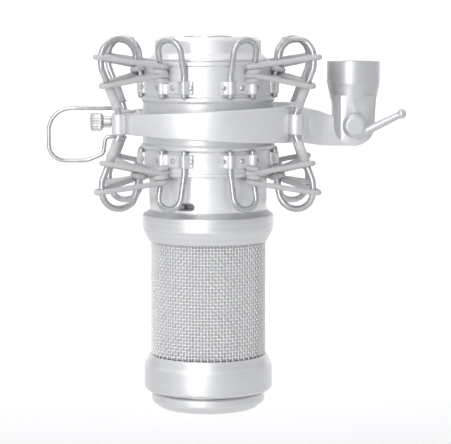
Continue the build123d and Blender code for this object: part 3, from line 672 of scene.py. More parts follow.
def body_shell():
    """The body tube, with the switch's slot and the two screw seats cut through it."""
    bottom, top = low("body_tube", 2), high("body_tube", 2)
    wall = 1.7 * MM
    profile = [(BODY_R - wall, bottom), (BODY_R, bottom), (BODY_R, top), (BODY_R - wall, top)]
    shell = lathe("body_shell", profile, around=192, radii=[0.1 * MM, 0.3 * MM, 0.3 * MM, 0.1 * MM])
    out = front_axis()
    slot = slab(
        "slot_cutter", slot_outline(7.6 * MM, 3.0 * MM), (BODY_R - 4 * MM, BODY_R + 3 * MM), switch_matrix()
    )
    combine(shell, slot, "DIFFERENCE")
    for turn in (1, -1):
        at = aim(MIC + UP * screw_height(), out * turn)
        hole = slab("hole_cutter", circle(1.5 * MM, 32), (BODY_R - 4 * MM, BODY_R + 3 * MM), at)
        combine(shell, hole, "DIFFERENCE")
    place(shell, "microphone", "satin_silver", LOOKS["satin_silver"], "body_tube")


def front_axis():
    """The way the microphone's front faces."""
    a = math.radians(FRONT_AZIMUTH)
    return Vector((math.cos(a), math.sin(a), 0))


def across_axis():
    """Level, across the microphone's front."""
    return UP.cross(front_axis())


def switch_matrix():
    """Local x across the front, y up, z outward, at the switch's height on the microphone's axis."""
    at = MIC + UP * middle("switch_bezel").z
    return aim(at, front_axis(), across_axis())


def screw_height():
    """Height of the two housing screws."""
    return middle("housing_screws").z


def slot_outline(width, height, count=20):
    """Points of a slot with round ends."""
    r = height / 2
    half = width / 2 - r
    right = [
        (half + r * math.cos(a), r * math.sin(a))
        for a in (math.pi * (k / count - 0.5) for k in range(count + 1))
    ]
    return right + [(-x, -y) for x, y in right]


def housing_rings():
    """Base ring, collar and cap ring, all turned."""
    top = high("base_ring", 2)
    seat = high("body_tube", 2)
    bore = high("xlr_shell", 0) - MIC.x
    wide, narrow = BODY_R, 20.2 * MM
    base = [
        (bore, top),
        (narrow - 1.4 * MM, top),
        (narrow - 0.1 * MM, top - 1.2 * MM),
        (narrow, top - 6 * MM),
        (wide, top - 8 * MM),
        (wide, seat),
        (wide - 1.75 * MM, seat),
        (wide - 1.75 * MM, seat - 5 * MM),
        (wide - 3.7 * MM, seat - 5 * MM),
        (wide - 3.7 * MM, seat),
        (narrow - 2.2 * MM, top - 7 * MM),
        (narrow - 2.2 * MM, top - 3.5 * MM),
        (bore, top - 3.5 * MM),
    ]
    softened = [r * MM for r in (0.35, 0.7, 0.9, 1.5, 0.8, 0.15, 0, 0.3, 0.3, 0, 0.3, 0.3, 0.1)]
    ring = lathe("base_ring_turned", base, around=160, radii=softened)
    place(ring, "microphone", "satin_silver", LOOKS["satin_silver"], "base_ring")

    collar_top = low("body_tube", 2)
    grille_top = high("grille_mesh", 2)
    collar = [
        (BODY_R - 1.7 * MM, collar_top),
        (BODY_R - 0.2 * MM, collar_top),
        (COLLAR_R, collar_top - 2 * MM),
        (COLLAR_R, collar_top - 7 * MM),
        (GRILLE_R + 0.6 * MM, grille_top),
        (GRILLE_R - 0.2 * MM, grille_top),
        (GRILLE_R - 0.2 * MM, grille_top + 0.6 * MM),
        (GRILLE_R - 2.4 * MM, grille_top + 0.6 * MM),
        (GRILLE_R - 2.4 * MM, collar_top),
    ]
    softened = [r * MM for r in (0, 0.2, 1.1, 1.6, 0.4, 0.1, 0.1, 0.1, 0)]
    ring = lathe("collar_turned", collar, around=192, radii=softened)
    place(ring, "microphone", "polished_silver", LOOKS["polished_silver"], "collar")

    grille_low = low("grille_mesh", 2)
    end_top = low("cap_ring", 2)
    cap = [
        (GRILLE_R - 2.4 * MM, grille_low - 0.6 * MM),
        (GRILLE_R - 0.2 * MM, grille_low - 0.6 * MM),
        (GRILLE_R - 0.2 * MM, grille_low),
        (GRILLE_R + 0.5 * MM, grille_low),
        (CAP_R, grille_low - 4.2 * MM),
        (CAP_R, end_top + 0.9 * MM),
        (CAP_R - 0.9 * MM, end_top),
        (GRILLE_R - 2.4 * MM, end_top),
    ]
    softened = [r * MM for r in (0.1, 0.1, 0.1, 0.35, 2.4, 0.6, 0.5, 0.1)]
    ring = lathe("cap_ring_turned", cap, around=192, radii=softened)
    place(ring, "microphone", "polished_silver", LOOKS["polished_silver"], "cap_ring")


def end_cap():
    """The rounded end, with the groove that its own edge makes under the cap ring."""
    top = low("cap_ring", 2)
    tip = low("end_cap", 2)
    profile = [
        (0, top + 3 * MM),
        (GRILLE_R - 2.4 * MM, top + 3 * MM),
        (GRILLE_R - 2.4 * MM, top - 0.9 * MM),
        (END_R - 0.7 * MM, top - 0.9 * MM),
        (END_R, top - 1.6 * MM),
        (END_R, tip + 2.6 * MM),
        (END_R - 3.4 * MM, tip),
        (END_R - 8 * MM, tip),
        (END_R - 8.4 * MM, tip + 0.35 * MM),
        (0, tip + 0.35 * MM),
    ]
    softened = [r * MM for r in (0, 0.2, 0, 0.4, 0.6, 1.8, 2.4, 0.2, 0.2, 0)]
    cap = lathe("end_cap_turned", profile, around=192, radii=softened)
    place(cap, "microphone", "polished_silver", LOOKS["polished_silver"], "end_cap")


def screws():
    """The two countersunk screws that hold the base ring, each with its driver slot."""
    heads = []
    for turn in (1, -1):
        at = aim(MIC + UP * screw_height(), front_axis() * turn)
        top = BODY_R - 0.12 * MM
        profile = [(0, top - 3.5 * MM), (1.45 * MM, top - 3.5 * MM), (1.45 * MM, top), (0, top)]
        head = lathe("screw_head", profile, at, 32, [0, 0.05 * MM, 0.25 * MM, 0])
        groove = slab("groove", slot_outline(2.2 * MM, 0.5 * MM, 8), (top - 0.6 * MM, top + MM), at)
        heads.append(combine(head, groove, "DIFFERENCE"))
    group = join("base_screws", heads)
    smooth(group)
    place(group, "microphone", "dark_steel", LOOKS["dark_steel"], "housing_screws")


def woven_wires():
    """The outer grille: upright wires and round wires that pass over and under each other."""
    bottom, top = low("grille_mesh", 2), high("grille_mesh", 2)
    wire = 0.21 * MM
    columns, rows, steps, sides = 112, 36, 3, 5
    mean = GRILLE_R - 2 * wire - 0.05 * MM
    pitch = (top - bottom) / rows
    verts, faces = [], []

    def add_wire(points, tangents, outs, closed):
        start = len(verts)
        count = len(points)
        for p, t, n in zip(points, tangents, outs):
            b = t.cross(n)
            for k in range(sides):
                a = 2 * math.pi * k / sides
                verts.append(p + (n * math.cos(a) + b * math.sin(a)) * wire)
        for i in range(count if closed else count - 1):
            j = (i + 1) % count
            for k in range(sides):
                m = (k + 1) % sides
                faces.append((start + i * sides + k, start + i * sides + m, start + j * sides + m,
                              start + j * sides + k))
        if not closed:
            faces.append(tuple(start + k for k in reversed(range(sides))))
            faces.append(tuple(start + (count - 1) * sides + k for k in range(sides)))

    for i in range(columns):
        a = 2 * math.pi * i / columns
        out = Vector((math.cos(a), math.sin(a), 0))
        points = []
        for k in range(rows * steps + 1):
            swing = wire * math.cos(math.pi * (i + k / steps))
            points.append(MIC + out * (mean + swing) + UP * (bottom + pitch * k / steps))
        add_wire(points, [UP] * len(points), [out] * len(points), False)
    place_mesh("grille_upright_wires", verts, faces)
    verts, faces = [], []
    for j in range(1, rows):
        points, tangents, outs = [], [], []
        for k in range(columns * steps):
            a = 2 * math.pi * k / (columns * steps)
            out = Vector((math.cos(a), math.sin(a), 0))
            swing = -wire * math.cos(math.pi * (j + k / steps))
            points.append(MIC + out * (mean + swing) + UP * (bottom + pitch * j))
            outs.append(out)
            tangents.append(Vector((-math.sin(a), math.cos(a), 0)))
        add_wire(points, tangents, outs, True)
    place_mesh("grille_round_wires", verts, faces, "grille_mesh")


def place_mesh(name, verts, faces, *nodes):
    """A grille wire set as a piece of the microphone."""
    obj = new_object(name, verts, faces, sharp=80)
    place(obj, "microphone", "silver_mesh", LOOKS["silver_mesh"], *nodes)


# ------------------------------------------------------------------ cradle


def cradle_band():
    """The band round the body, with a rolled rim at each end and two pressed ribs."""
    top, bottom = high("cradle_band", 2), low("cradle_band", 2)
    inner = high("cradle_liner", 0) - MIC.x
    rim, rib = BAND_R + 0.35 * MM, BAND_R + 0.7 * MM
    profile = [(inner, top), (rim, top), (rim, top - 1.3 * MM), (BAND_R, top - 1.7 * MM)]
    softened = [0.3, 0.5, 0.5, 0.4]
    for level in (RING.z + 9 * MM, RING.z - 9 * MM):
        profile += [
            (BAND_R, level + 1.3 * MM),
            (rib, level + 0.6 * MM),
            (rib, level - 0.6 * MM),
            (BAND_R, level - 1.3 * MM),
        ]
        softened += [0.5, 0.5, 0.5, 0.5]
    profile += [(BAND_R, bottom + 1.7 * MM), (rim, bottom + 1.3 * MM), (rim, bottom), (inner, bottom)]
    softened += [0.4, 0.5, 0.5, 0.3]
    band = lathe("band_rolled", profile, around=192, radii=[r * MM for r in softened])
    hole = slab("pad_hole", circle(3.3 * MM), (BODY_R - MM, BAND_R + 3 * MM), aim(RING, (-1, 0, 0)))
    combine(band, hole, "DIFFERENCE")
    place(band, "cradle", "painted_frame", LOOKS["painted_frame"], "cradle_band")


def hook_leg(azimuth, side, across, z):
    """Point on the centre line of a hook's leg, at a height from the ring's middle."""
    foot = math.sqrt((BAND_R + 1.1 * MM) ** 2 - HOOK_HALF**2)
    lean = max(0.0, (z - 18 * MM) / (13 * MM))
    return polar(azimuth, foot + lean * (28.6 * MM - foot), across, side * z)


def hooks(name, side, node):
    """Six wire arches: up one leg, over the top and down the other leg."""
    made = []
    for azimuth in HOOK_AZIMUTHS:
        heights = (10 * MM, 18 * MM, 31 * MM)
        route = [hook_leg(azimuth, side, -HOOK_HALF, z) for z in heights]
        route += [hook_leg(azimuth, side, HOOK_HALF, z) for z in reversed(heights)]
        path = rounded(route, [r * MM for r in (3.0, 4.5, 4.5, 3.0)], turn=8)
        made.append(tube("hook", path, 1.1 * MM, sides=18))
    place(join(name, made), "cradle", "steel_wire", LOOKS["steel_wire"], node)


def saddles():
    """Pressed saddles that hold the arches: a strip with a hump over each leg, and its rivets."""
    strips, rivets = [], []
    leg = math.asin(HOOK_HALF / (BAND_R + 1.1 * MM))
    half = math.radians(18)
    steps = 84
    for azimuth in HOOK_AZIMUTHS:
        for side in (1, -1):
            strips.append(saddle_strip(math.radians(azimuth), side, half, leg, steps))
            for at in (-16.0, 0.0, 16.0):
                rivets.append(rivet(azimuth + at, side))
    strip = join("saddle_strips", strips)
    place(strip, "cradle", "painted_frame", LOOKS["painted_frame"], "hook_clamps")
    place(join("saddle_rivets", rivets), "cradle", "steel_wire", LOOKS["bright_rivet"])


def saddle_strip(middle_angle, side, half, leg, steps):
    """One saddle as a swept section whose radii swell where it passes over a leg."""
    corner = 0.45 * MM
    verts, faces = [], []
    rows = 12
    for i in range(steps + 1):
        a = -half + 2 * half * i / steps
        near = min(abs(a - leg), abs(a + leg))
        swell = math.exp(-((near / math.radians(3.3)) ** 2))
        under = math.exp(-((near / math.radians(2.7)) ** 2))
        inner = BAND_R + 0.02 * MM + 2.25 * MM * under
        outer = BAND_R + 1.0 * MM + 1.65 * MM * swell
        taper = min(1.0, (half - abs(a)) / (corner / BAND_R) + 0.35)
        outer = inner + (outer - inner) * taper
        low_z, high_z = 11 * MM, 16 * MM
        points = [(inner, low_z), (inner, high_z)]
        for k in range(5):
            t = k / 4 * math.pi / 2
            reach = min(corner, (outer - inner) * 0.8)
            points.append((outer - reach + reach * math.sin(t), high_z - reach + reach * math.cos(t)))
        for k in range(5):
            t = k / 4 * math.pi / 2
            reach = min(corner, (outer - inner) * 0.8)
            points.append((outer - reach + reach * math.cos(t), low_z + reach - reach * math.sin(t)))
        for r, z in points:
            around = middle_angle + a
            verts.append(RING + Vector((r * math.cos(around), r * math.sin(around), side * z)))
    for i in range(steps):
        for k in range(rows):
            m = (k + 1) % rows
            faces.append((i * rows + k, i * rows + m, (i + 1) * rows + m, (i + 1) * rows + k))
    faces.append(tuple(range(rows)))
    faces.append(tuple(steps * rows + k for k in reversed(range(rows))))
    return new_object("saddle", verts, faces, sharp=40)


def rivet(azimuth, side):
    """A domed rivet head on a saddle."""
    at = aim(polar(azimuth, BAND_R, 0, side * 13.5 * MM), polar(azimuth, 1) - RING)
    profile = [(0, 0.6 * MM), (1.0 * MM, 0.6 * MM), (1.0 * MM, 1.2 * MM), (0.6 * MM, 1.5 * MM), (0, 1.6 * MM)]
    return lathe("rivet", profile, at, 20, [0, 0.05 * MM, 0.2 * MM, 0.4 * MM, 0], sharp=60)


def screw_boss():
    """The turned boss that carries the thumbscrew, with the pocket that the pad draws back into."""
    at = aim(RING, (-1, 0, 0))
    bore, pocket = 2.05 * MM, 3.3 * MM
    end = MIC.x - low("screw_boss", 0)
    profile = [
        (bore, 25.9 * MM),
        (pocket, 25.9 * MM),
        (pocket, 23.9 * MM),
        (5.0 * MM, 23.9 * MM),
        (5.0 * MM, 26.6 * MM),
        (3.5 * MM, 27.4 * MM),
        (3.2 * MM, 28.4 * MM),
        (3.2 * MM, end),
        (bore, end),
    ]
    softened = [r * MM for r in (0, 0, 0.1, 0.1, 0.5, 0.5, 1.0, 0.35, 0.15)]
    boss = lathe("boss_turned", profile, at, 72, softened)
    place(boss, "cradle", "painted_frame", LOOKS["painted_frame"], "screw_boss")


def thread_height(turn, along, pitch):
    """Height from 0 to 1 of a right-hand thread's ridge at an angle and a length."""
    phase = (along / pitch - turn / (2 * math.pi)) % 1.0
    return 1 - abs(2 * phase - 1)


def thumbscrew():
    """Threaded screw and its knurled knob, which stands through the eye of the outer ring."""
    at = aim(RING, (-1, 0, 0))
    tip = MIC.x - high("thumb_screw", 0)
    neck = MIC.x - high("thumb_knob", 0)
    end = MIC.x - low("thumb_knob", 0)
    pitch, depth, radius = 0.8 * MM, 0.38 * MM, 2.0 * MM

    def thread(angle, r, along):
        inside = 0.3 * MM < along - tip and along < neck + MM
        return -depth * (1 - thread_height(angle, along, pitch)) if r > MM and inside else 0.0

    rows = 160
    length = neck + 3.5 * MM - tip
    side = [(radius, tip + length * k / rows) for k in range(rows + 1)]
    side[0] = (radius - 0.5 * MM, tip)
    screw = lathe("screw_threaded", [(0, tip)] + side + [(0, tip + length)], at, 40, 0.0, thread, 50)
    place(screw, "thumbscrew", "nickel", LOOKS["nickel"], "thumb_screw")

    head = 40.0 * MM
    knob_r = 3.5 * MM

    def knurl(angle, r, along):
        cut = max(0.0, min(1.0, (along - head - 0.4 * MM) / (0.4 * MM), (end - 0.4 * MM - along) / (0.4 * MM)))
        return -0.4 * MM * cut * abs(math.sin(angle * 9)) ** 3 if r > knob_r - 0.3 * MM else 0.0

    grip = [(knob_r, head + (end - head) * k / 12) for k in range(1, 12)]
    profile = [
        (0, neck),
        (2.25 * MM, neck),
        (2.25 * MM, head - 0.6 * MM),
        (knob_r - 0.4 * MM, head),
        *grip,
        (knob_r - 0.5 * MM, end),
        (1.6 * MM, end),
        (1.3 * MM, end - 0.4 * MM),
        (0, end - 0.4 * MM),
    ]
    knob = lathe("knob_knurled", profile, at, 144, 0.0, knurl, 40)
    place(knob, "thumbscrew", "nickel", LOOKS["nickel"], "thumb_knob")


# ------------------------------------------------------------------ outer frame


def ring_half_height(angle):
    """Half height of the outer ring, which tapers to the left and swells into the screw's eye."""
    radius = 36 * MM
    x = radius * math.cos(angle)
    half = 3.4 * MM + (x + 37 * MM) / 74 * 3.8
    across = abs(radius * math.sin(angle))
    if x < 0 and across < 5.2 * MM:
        lobe = 3.2 * MM + math.sqrt((5.2 * MM) ** 2 - across**2)
        half = max(half, lobe)
    return half


def outer_ring():
    """Flat ring with rounded edges, the slotted eye for the thumbscrew and four bosses for the arms."""
    inner, outer, corner = 33.6 * MM, 36.0 * MM, 0.55 * MM
    angles = []
    for k in range(320):
        angles.append(2 * math.pi * k / 320)
    fine = math.asin(5.2 / 36)
    for k in range(1, 48):
        angles.append(math.pi + fine * math.sin(math.pi / 2 * (k - 24) / 24))
    angles = sorted(set(round(a, 6) for a in angles))
    verts, faces = [], []
    rows = 0
    for a in angles:
        half = ring_half_height(a)
        section = [(inner, -half), (outer, -half), (outer, half), (inner, half)]
        outline = rounded([(r, 0, z) for r, z in section], corner, closed=True, turn=22)
        rows = len(outline)
        for p in outline:
            verts.append(RING + Vector((p.x * math.cos(a), p.x * math.sin(a), p.z)))
    for i in range(len(angles)):
        j = (i + 1) % len(angles)
        for k in range(rows):
            m = (k + 1) % rows
            faces.append((i * rows + k, j * rows + k, j * rows + m, i * rows + m))
    ring = new_object("ring_rolled", verts, faces)
    slot = [(z, y) for y, z in eye_outline(2.8 * MM, 3.2 * MM)]
    at = aim(RING, (-1, 0, 0), (0, 0, 1))
    combine(ring, slab("eye_cutter", slot, (30 * MM, 40 * MM), at), "DIFFERENCE")
    for azimuth in ARMS.values():
        post = Matrix.Translation(polar(azimuth, 37.8 * MM))
        tall = 3.9 * MM
        boss = [(0, -tall), (2.7 * MM, -tall), (2.7 * MM, tall), (0, tall)]
        combine(ring, lathe("boss", boss, post, 40, [0, 0.6 * MM, 0.6 * MM, 0]), "UNION")
    place(ring, "outer_frame", "painted_frame", LOOKS["painted_frame"], "outer_ring")


def eye_outline(radius, rise, count=24):
    """Points of an upright slot: half circles above and below."""
    top = [
        (radius * math.cos(math.pi * k / count), rise + radius * math.sin(math.pi * k / count))
        for k in range(count + 1)
    ]
    return top + [(-y, -z) for y, z in top]


def arms():
    """The four wire arms, with the thicker sleeve on each slanted run."""
    bends = [r * MM for r in (6.9, 6.9, 7.0, 3.0, 3.0, 7.0, 6.9, 6.9)]
    half = [(30.6, 24.0), (30.6, 31.3), (45.0, 31.3), (45.0, 21.0), (37.8, 4.5)]
    corners = half + [(r, -z) for r, z in reversed(half)]
    sleeves = []
    for where, azimuth in ARMS.items():
        route = [polar(azimuth, r * MM, 0, z * MM) for r, z in corners]
        arm = tube(f"arm_wire_{where}", rounded(route, bends, turn=6), 1.2 * MM, sides=20)
        place(arm, "outer_frame", "steel_wire", LOOKS["steel_wire"], f"arm_{where}")
        for side in (1, -1):
            root = polar(azimuth, 37.8 * MM, 0, side * 4.5 * MM)
            knee = polar(azimuth, 45.0 * MM, 0, side * 21.0 * MM)
            sleeves.append(sleeve(root, knee))
    place(join("arm_sleeves_rubber", sleeves), "outer_frame", "rubber", LOOKS["rubber"], "arm_sleeves")


def sleeve(root, knee):
    """A rubber sleeve pushed over the wire, a little flared at both ends and ringed in between."""
    at = aim(root, knee - root)
    start, length = 2.2 * MM, (knee - root).length - 8 * MM
    outline = []
    for k in range(41):
        along = k / 40
        flare = 0.22 * MM * max(0.0, 1 - min(along, 1 - along) / 0.09)
        rings = 0.05 * MM * math.cos(along * 14 * math.pi)
        outline.append((1.72 * MM + flare + rings, start + length * along))
    profile = [(1.22 * MM, start)] + outline + [(1.22 * MM, start + length)]
    return lathe("sleeve", profile, at, 24, 0.0, None, 50)


def elastic_cords():
    """Elastic cord: round each arm and to the nearer legs of the two hooks beside it, twice a side."""
    cord = 1.02 * MM
    slant = math.hypot(7.2, 16.5)
    tip_r, tip_z = (37.8 + 11.0 * 7.2 / slant) * MM, (4.5 + 11.0 * 16.5 / slant) * MM
    levels = ((45.0 * MM, 24.6 * MM, 21.5 * MM, 1.2 * MM), (tip_r, tip_z, 18.2 * MM, 1.9 * MM))
    for where, azimuth in ARMS.items():
        strands = []
        for side in (1, -1):
            for arm_r, arm_z, hook_z, wire in levels:
                held = polar(azimuth, arm_r, 0, side * arm_z)
                legs = [hook_leg(azimuth + 30 * b, side, -HOOK_HALF * b, hook_z) for b in (1, -1)]
                strands.append(strand(held, legs, wire + cord, 1.1 * MM + cord, cord))
        cords = join(f"elastics_{where}", strands)
        cords.data.materials.append(LOOKS["elastic_cord"])
        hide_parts("elastics_upper", "elastics_lower")
        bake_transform(cords)


def strand(held, legs, arm_wrap, leg_wrap, radius):
    """One cord: a turn round one leg, out round the arm, back and a turn round the other leg."""
    inward = ((legs[0] + legs[1]) / 2 - held).normalized()
    spread = (legs[0] - held).angle(legs[1] - held)
    tip = held - inward * (arm_wrap / math.sin(spread / 2))
    ends = [wrap(leg, tip, other, leg_wrap) for leg, other in ((legs[0], legs[1]), (legs[1], legs[0]))]
    corner = rounded([ends[0][-1], tip, ends[1][-1]], arm_wrap, turn=14)
    path = ends[0] + corner[1:-1] + list(reversed(ends[1]))
    return tube("strand", path, radius, sides=12)


def wrap(leg, towards, other, radius):
    """Points of one turn and a bit round an upright leg, leaving it tangent towards a point."""
    flat = Vector((towards.x - leg.x, towards.y - leg.y, 0))
    reach = flat.length
    heading = math.atan2(flat.y, flat.x)
    swing = math.acos(radius / reach)
    hand = 1 if flat.cross(other - leg).z > 0 else -1
    leave = heading - hand * swing
    turns = math.radians(420)
    points = []
    for k in range(29):
        a = leave + hand * turns * (1 - k / 28) * -1
        lift = 2.05 * MM * (1 - k / 28) * turns / (2 * math.pi)
        sign = 1 if leg.z > RING.z else -1
        points.append(leg + Vector((radius * math.cos(a), radius * math.sin(a), -sign * lift)))
    return points


def cable_loop():
    """The thin wire loop at the far left, which guides the lead."""
    corners = [(-35.2, 5.3), (-60, 5.3), (-60, -14.4), (-45.5, -14.4), (-39.4, -11.8), (-38.6, -5.4), (-35.2, -5.4)]
    route = [RING + Vector((x, -4.2, z)) * MM for x, z in corners]
    path = rounded(route, [r * MM for r in (8.5, 6.0, 6.0, 2.6, 1.6)], turn=5)
    loop = tube("loop_wire", path, 0.8 * MM, sides=16)
    place(loop, "outer_frame", "steel_wire", LOOKS["steel_wire"], "cable_loop")


def yoke():
    """The tapered arm from the ring to the tilt pivot; its screws are the imported node that stays."""
    side_view = [(-24, 7.6), (-13, 5.2), (-6.5, 2.6), (0, 0), (0, -8), (-12, -7.8), (-24, -5.8)]
    outline = [(x * MM, z * MM) for x, z in side_view]
    upright = Matrix.Translation(PIVOT) @ Matrix.Rotation(math.pi / 2, 4, "X")
    arm = slab("yoke_casting", outline, (-12 * MM, 12 * MM), upright)
    eye = slab("eye", circle(8 * MM, 96), (-12 * MM, 12 * MM), upright)
    combine(arm, eye, "UNION")
    plan = [(-24, -9), (-12, -4), (10, -4), (10, 4), (-12, 4), (-24, 9)]
    above = slab("plan", [(x * MM, y * MM) for x, y in plan], (-20 * MM, 20 * MM), Matrix.Translation(PIVOT))
    combine(arm, above, "INTERSECT")
    ring = slab("ring_cutter", circle(36 * MM, 256), (-20 * MM, 20 * MM), Matrix.Translation(RING))
    combine(arm, ring, "DIFFERENCE")
    for turn in (1, -1):
        pocket = [(x * MM, z * MM) for x, z in ((-17.5, 3.2), (-11, 2.2), (-11, -4.4), (-17.5, -3.8))]
        cut = (5.2 * MM, 14 * MM) if turn > 0 else (-14 * MM, -5.2 * MM)
        relief = slab("relief", [tuple(p.xz) for p in rounded([(x, 0, z) for x, z in pocket], MM, True)], cut, upright)
        combine(arm, relief, "DIFFERENCE")
    hole = slab("bolt_hole", circle(2.55 * MM, 48), (-12 * MM, 12 * MM), upright)
    combine(arm, hole, "DIFFERENCE")
    bevel(arm, 0.7 * MM, 4, 25)
    place(arm, "outer_frame", "painted_frame", LOOKS["painted_frame"], "yoke_arm")


# ------------------------------------------------------------------ swivel and stand socket


def socket():
    """The socket casting: a round barrel over two ears, with the seat of the thread bored out."""
    floor, mouth = PIVOT.z + 9.2 * MM, high("socket_housing", 2)
    body = Matrix.Identity(4)
    barrel = [
        (0, floor),
        (8.6 * MM, floor),
        (10 * MM, floor + 6.5 * MM),
        (10 * MM, mouth),
        (0, mouth),
    ]
    casting = lathe("socket_casting", barrel, body, 128, [0, 0.4 * MM, 3 * MM, 0, 0])
    upright = Matrix.Translation(PIVOT) @ Matrix.Rotation(math.pi / 2, 4, "X")
    ear_top = 11.2 * MM
    outline = [(-8.3 * MM, ear_top), (-7.6 * MM, 0)]
    outline += [
        (7.6 * MM * math.cos(a), 7.6 * MM * math.sin(a))
        for a in (math.pi + math.pi * k / 40 for k in range(1, 40))
    ]
    outline += [(7.6 * MM, 0), (8.3 * MM, ear_top)]
    ears = slab("ears", outline, (-8.6 * MM, 8.6 * MM), upright)
    combine(ears, slab("round", circle(10 * MM, 128), (PIVOT.z - 9 * MM, mouth - 4 * MM), body), "INTERSECT")
    combine(casting, ears, "UNION")
    gap = [(-15 * MM, -12 * MM), (15 * MM, -12 * MM), (15 * MM, 9.2 * MM), (-15 * MM, 9.2 * MM)]
    combine(casting, slab("gap", gap, (-4.6 * MM, 4.6 * MM), upright), "DIFFERENCE")
    seat = slab("seat", circle(9 * MM, 128), (low("thread_insert", 2), 20 * MM), body)
    combine(casting, seat, "DIFFERENCE")
    bolt = slab("bolt_hole", circle(2.5 * MM, 48), (-20 * MM, 20 * MM), upright)
    combine(casting, bolt, "DIFFERENCE")
    bevel(casting, 0.35 * MM, 3, 35)
    place(casting, "stand_socket", "socket_paint", LOOKS["socket_paint"], "socket_housing")


def insert():
    """The brass insert with its real thread, chamfered at both mouths."""
    bottom, top = low("thread_insert", 2), high("thread_insert", 2)
    bore, pitch, depth = 7.45 * MM, 0.94 * MM, 0.5 * MM
    rows = 110

    def thread(angle, r, z):
        ends = max(0.0, min(1.0, (z - bottom) / MM, (top - z) / MM))
        return depth * ends * (1 - thread_height(angle, z, pitch)) if r < bore + 0.1 * MM else 0.0

    inside = [(bore, top - (top - bottom) * k / rows) for k in range(rows + 1)]
    inside[0] = (bore + 0.6 * MM, top)
    inside[-1] = (bore + 0.6 * MM, bottom)
    rim = (8.98 * MM, top - 0.01 * MM)
    profile = inside + [(8.98 * MM, bottom + 0.01 * MM), rim]
    ring = lathe("insert_threaded", profile, Matrix.Identity(4), 96, 0.0, thread, 50)
    place(ring, "stand_socket", "thread_brass", LOOKS["thread_brass"], "thread_insert")


def pivot_bolt():
    """The hexagon bolt through the tilt pivot."""
    back = aim(PIVOT, (0, 1, 0), (1, 0, 0))
    hexagon = [
        (4.6 * MM * math.cos(math.pi * k / 3), 4.6 * MM * math.sin(math.pi * k / 3)) for k in range(6)
    ]
    head = bevel(slab("bolt_hexagon", hexagon, (8.6 * MM, 11.8 * MM), back), 0.2 * MM, 2, 35)
    cone = [(0, 8.5 * MM), (5 * MM, 8.5 * MM), (5 * MM, 11.0 * MM), (4.1 * MM, 11.8 * MM), (0, 11.8 * MM)]
    combine(head, lathe("crown", cone, back, 96), "INTERSECT")
    shank = [(0, -12 * MM), (2.5 * MM, -12 * MM), (2.5 * MM, 9 * MM), (0, 9 * MM)]
    combine(head, lathe("shank", shank, back, 48), "UNION")
    place(head, "stand_socket", "nickel", LOOKS["nickel"], "pivot_bolt")


def lever():
    """The cast clamp lever: hub, tapered rod and ball end, blended into one another."""
    out = aim(PIVOT, (0, -1, 0), (1, 0, 0))
    hub = [
        (0, 9 * MM),
        (4.6 * MM, 9 * MM),
        (4.6 * MM, 12.2 * MM),
        (3.4 * MM, 13.4 * MM),
        (0, 13.4 * MM),
    ]
    casting = lathe("lever_casting", hub, out, 72, [0, 0.3 * MM, 0.8 * MM, 0.8 * MM, 0])
    tip = Vector((high("clamp_lever", 0) - 1.8 * MM, -12.4 * MM, PIVOT.z + 4.6 * MM))
    root = PIVOT + Vector((1.2 * MM, -11.2 * MM, -3.4 * MM))
    length = (tip - root).length
    path = [root.lerp(tip, k / 24) for k in range(25)]
    rod = tube("rod", path, lambda s: (1.7 - 0.4 * s / length) * MM, 24)
    combine(casting, rod, "UNION")
    at = Matrix.Translation(tip)
    ball = [(1.8 * MM * math.sin(a), -1.8 * MM * math.cos(a)) for a in (math.pi * k / 16 for k in range(17))]
    combine(casting, lathe("ball", ball, at, 32), "UNION")
    remesh = casting.modifiers.new("remesh", "REMESH")
    remesh.mode = "VOXEL"
    remesh.voxel_size = 0.16 * MM
    relax = casting.modifiers.new("relax", "SMOOTH")
    relax.factor = 0.6
    relax.iterations = 8
    apply_modifiers(casting)
    smooth(casting, 60)
    hole = slab("bolt_hole", circle(2.55 * MM, 48), (8 * MM, 12.2 * MM), out)
    combine(casting, hole, "DIFFERENCE", 50)
    place(casting, "clamp_lever", "socket_paint", LOOKS["socket_paint"], "clamp_lever")


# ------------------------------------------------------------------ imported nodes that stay


KEPT = {
    "aluminium_frame": ("capsule_deck", "base_plate", "chassis_rails"),
    "black_plastic": ("capsule_post", "xlr_insulator"),
    "switch_plastic": ("switch_slider", "switch_bezel"),
    "capsule_brass": ("capsule_body", "backplate", "clamp_rings", "xlr_pins"),
    "gold_film": ("diaphragm_front", "diaphragm_rear"),
    "dark_steel": ("capsule_screws", "yoke_screws", "grille_ribs", "switch_base"),
    "foam": ("foam_liner",),
    "fine_weave": ("inner_mesh",),
    "board_green": ("main_board",),
    "component_black": ("transformer", "capacitors"),
    "rubber": ("capsule_isolator", "cradle_liner", "pressure_pad"),
    "nickel": ("xlr_shell",),
    "washer_fibre": ("friction_washers",),
}
SOFTENED = {
    "xlr_shell": 0.2,
    "xlr_insulator": 0.25,
    "switch_slider": 0.15,
    "switch_bezel": 0.12,
    "yoke_screws": 0.25,
    "clamp_rings": 0.1,
    "transformer": 0.4,
    "capacitors": 0.5,
    "chassis_rails": 0.3,
    "friction_washers": 0.1,
    "pressure_pad": 0.15,
    "cradle_liner": 0.15,
    "capsule_screws": 0.2,
}


def finish_kept_nodes():
    """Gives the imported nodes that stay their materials, and small rounded edges where they show."""
    for look, nodes in KEPT.items():
        for name in nodes:
            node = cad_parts[name]
            for i in range(max(1, len(node.material_slots))):
                if node.material_slots:
                    node.material_slots[i].material = LOOKS[look]
            if not node.material_slots:
                node.data.materials.append(LOOKS[look])
    for name, width in SOFTENED.items():
        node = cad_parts[name]
        weld = node.modifiers.new("weld", "WELD")
        weld.merge_threshold = 1e-6
        edge = node.modifiers.new("edge", "BEVEL")
        edge.width = width * MM
        edge.segments = 2
        edge.limit_method = "ANGLE"
        edge.angle_limit = math.radians(40)
        edge.use_clamp_overlap = True


# ------------------------------------------------------------------ floor, light and camera


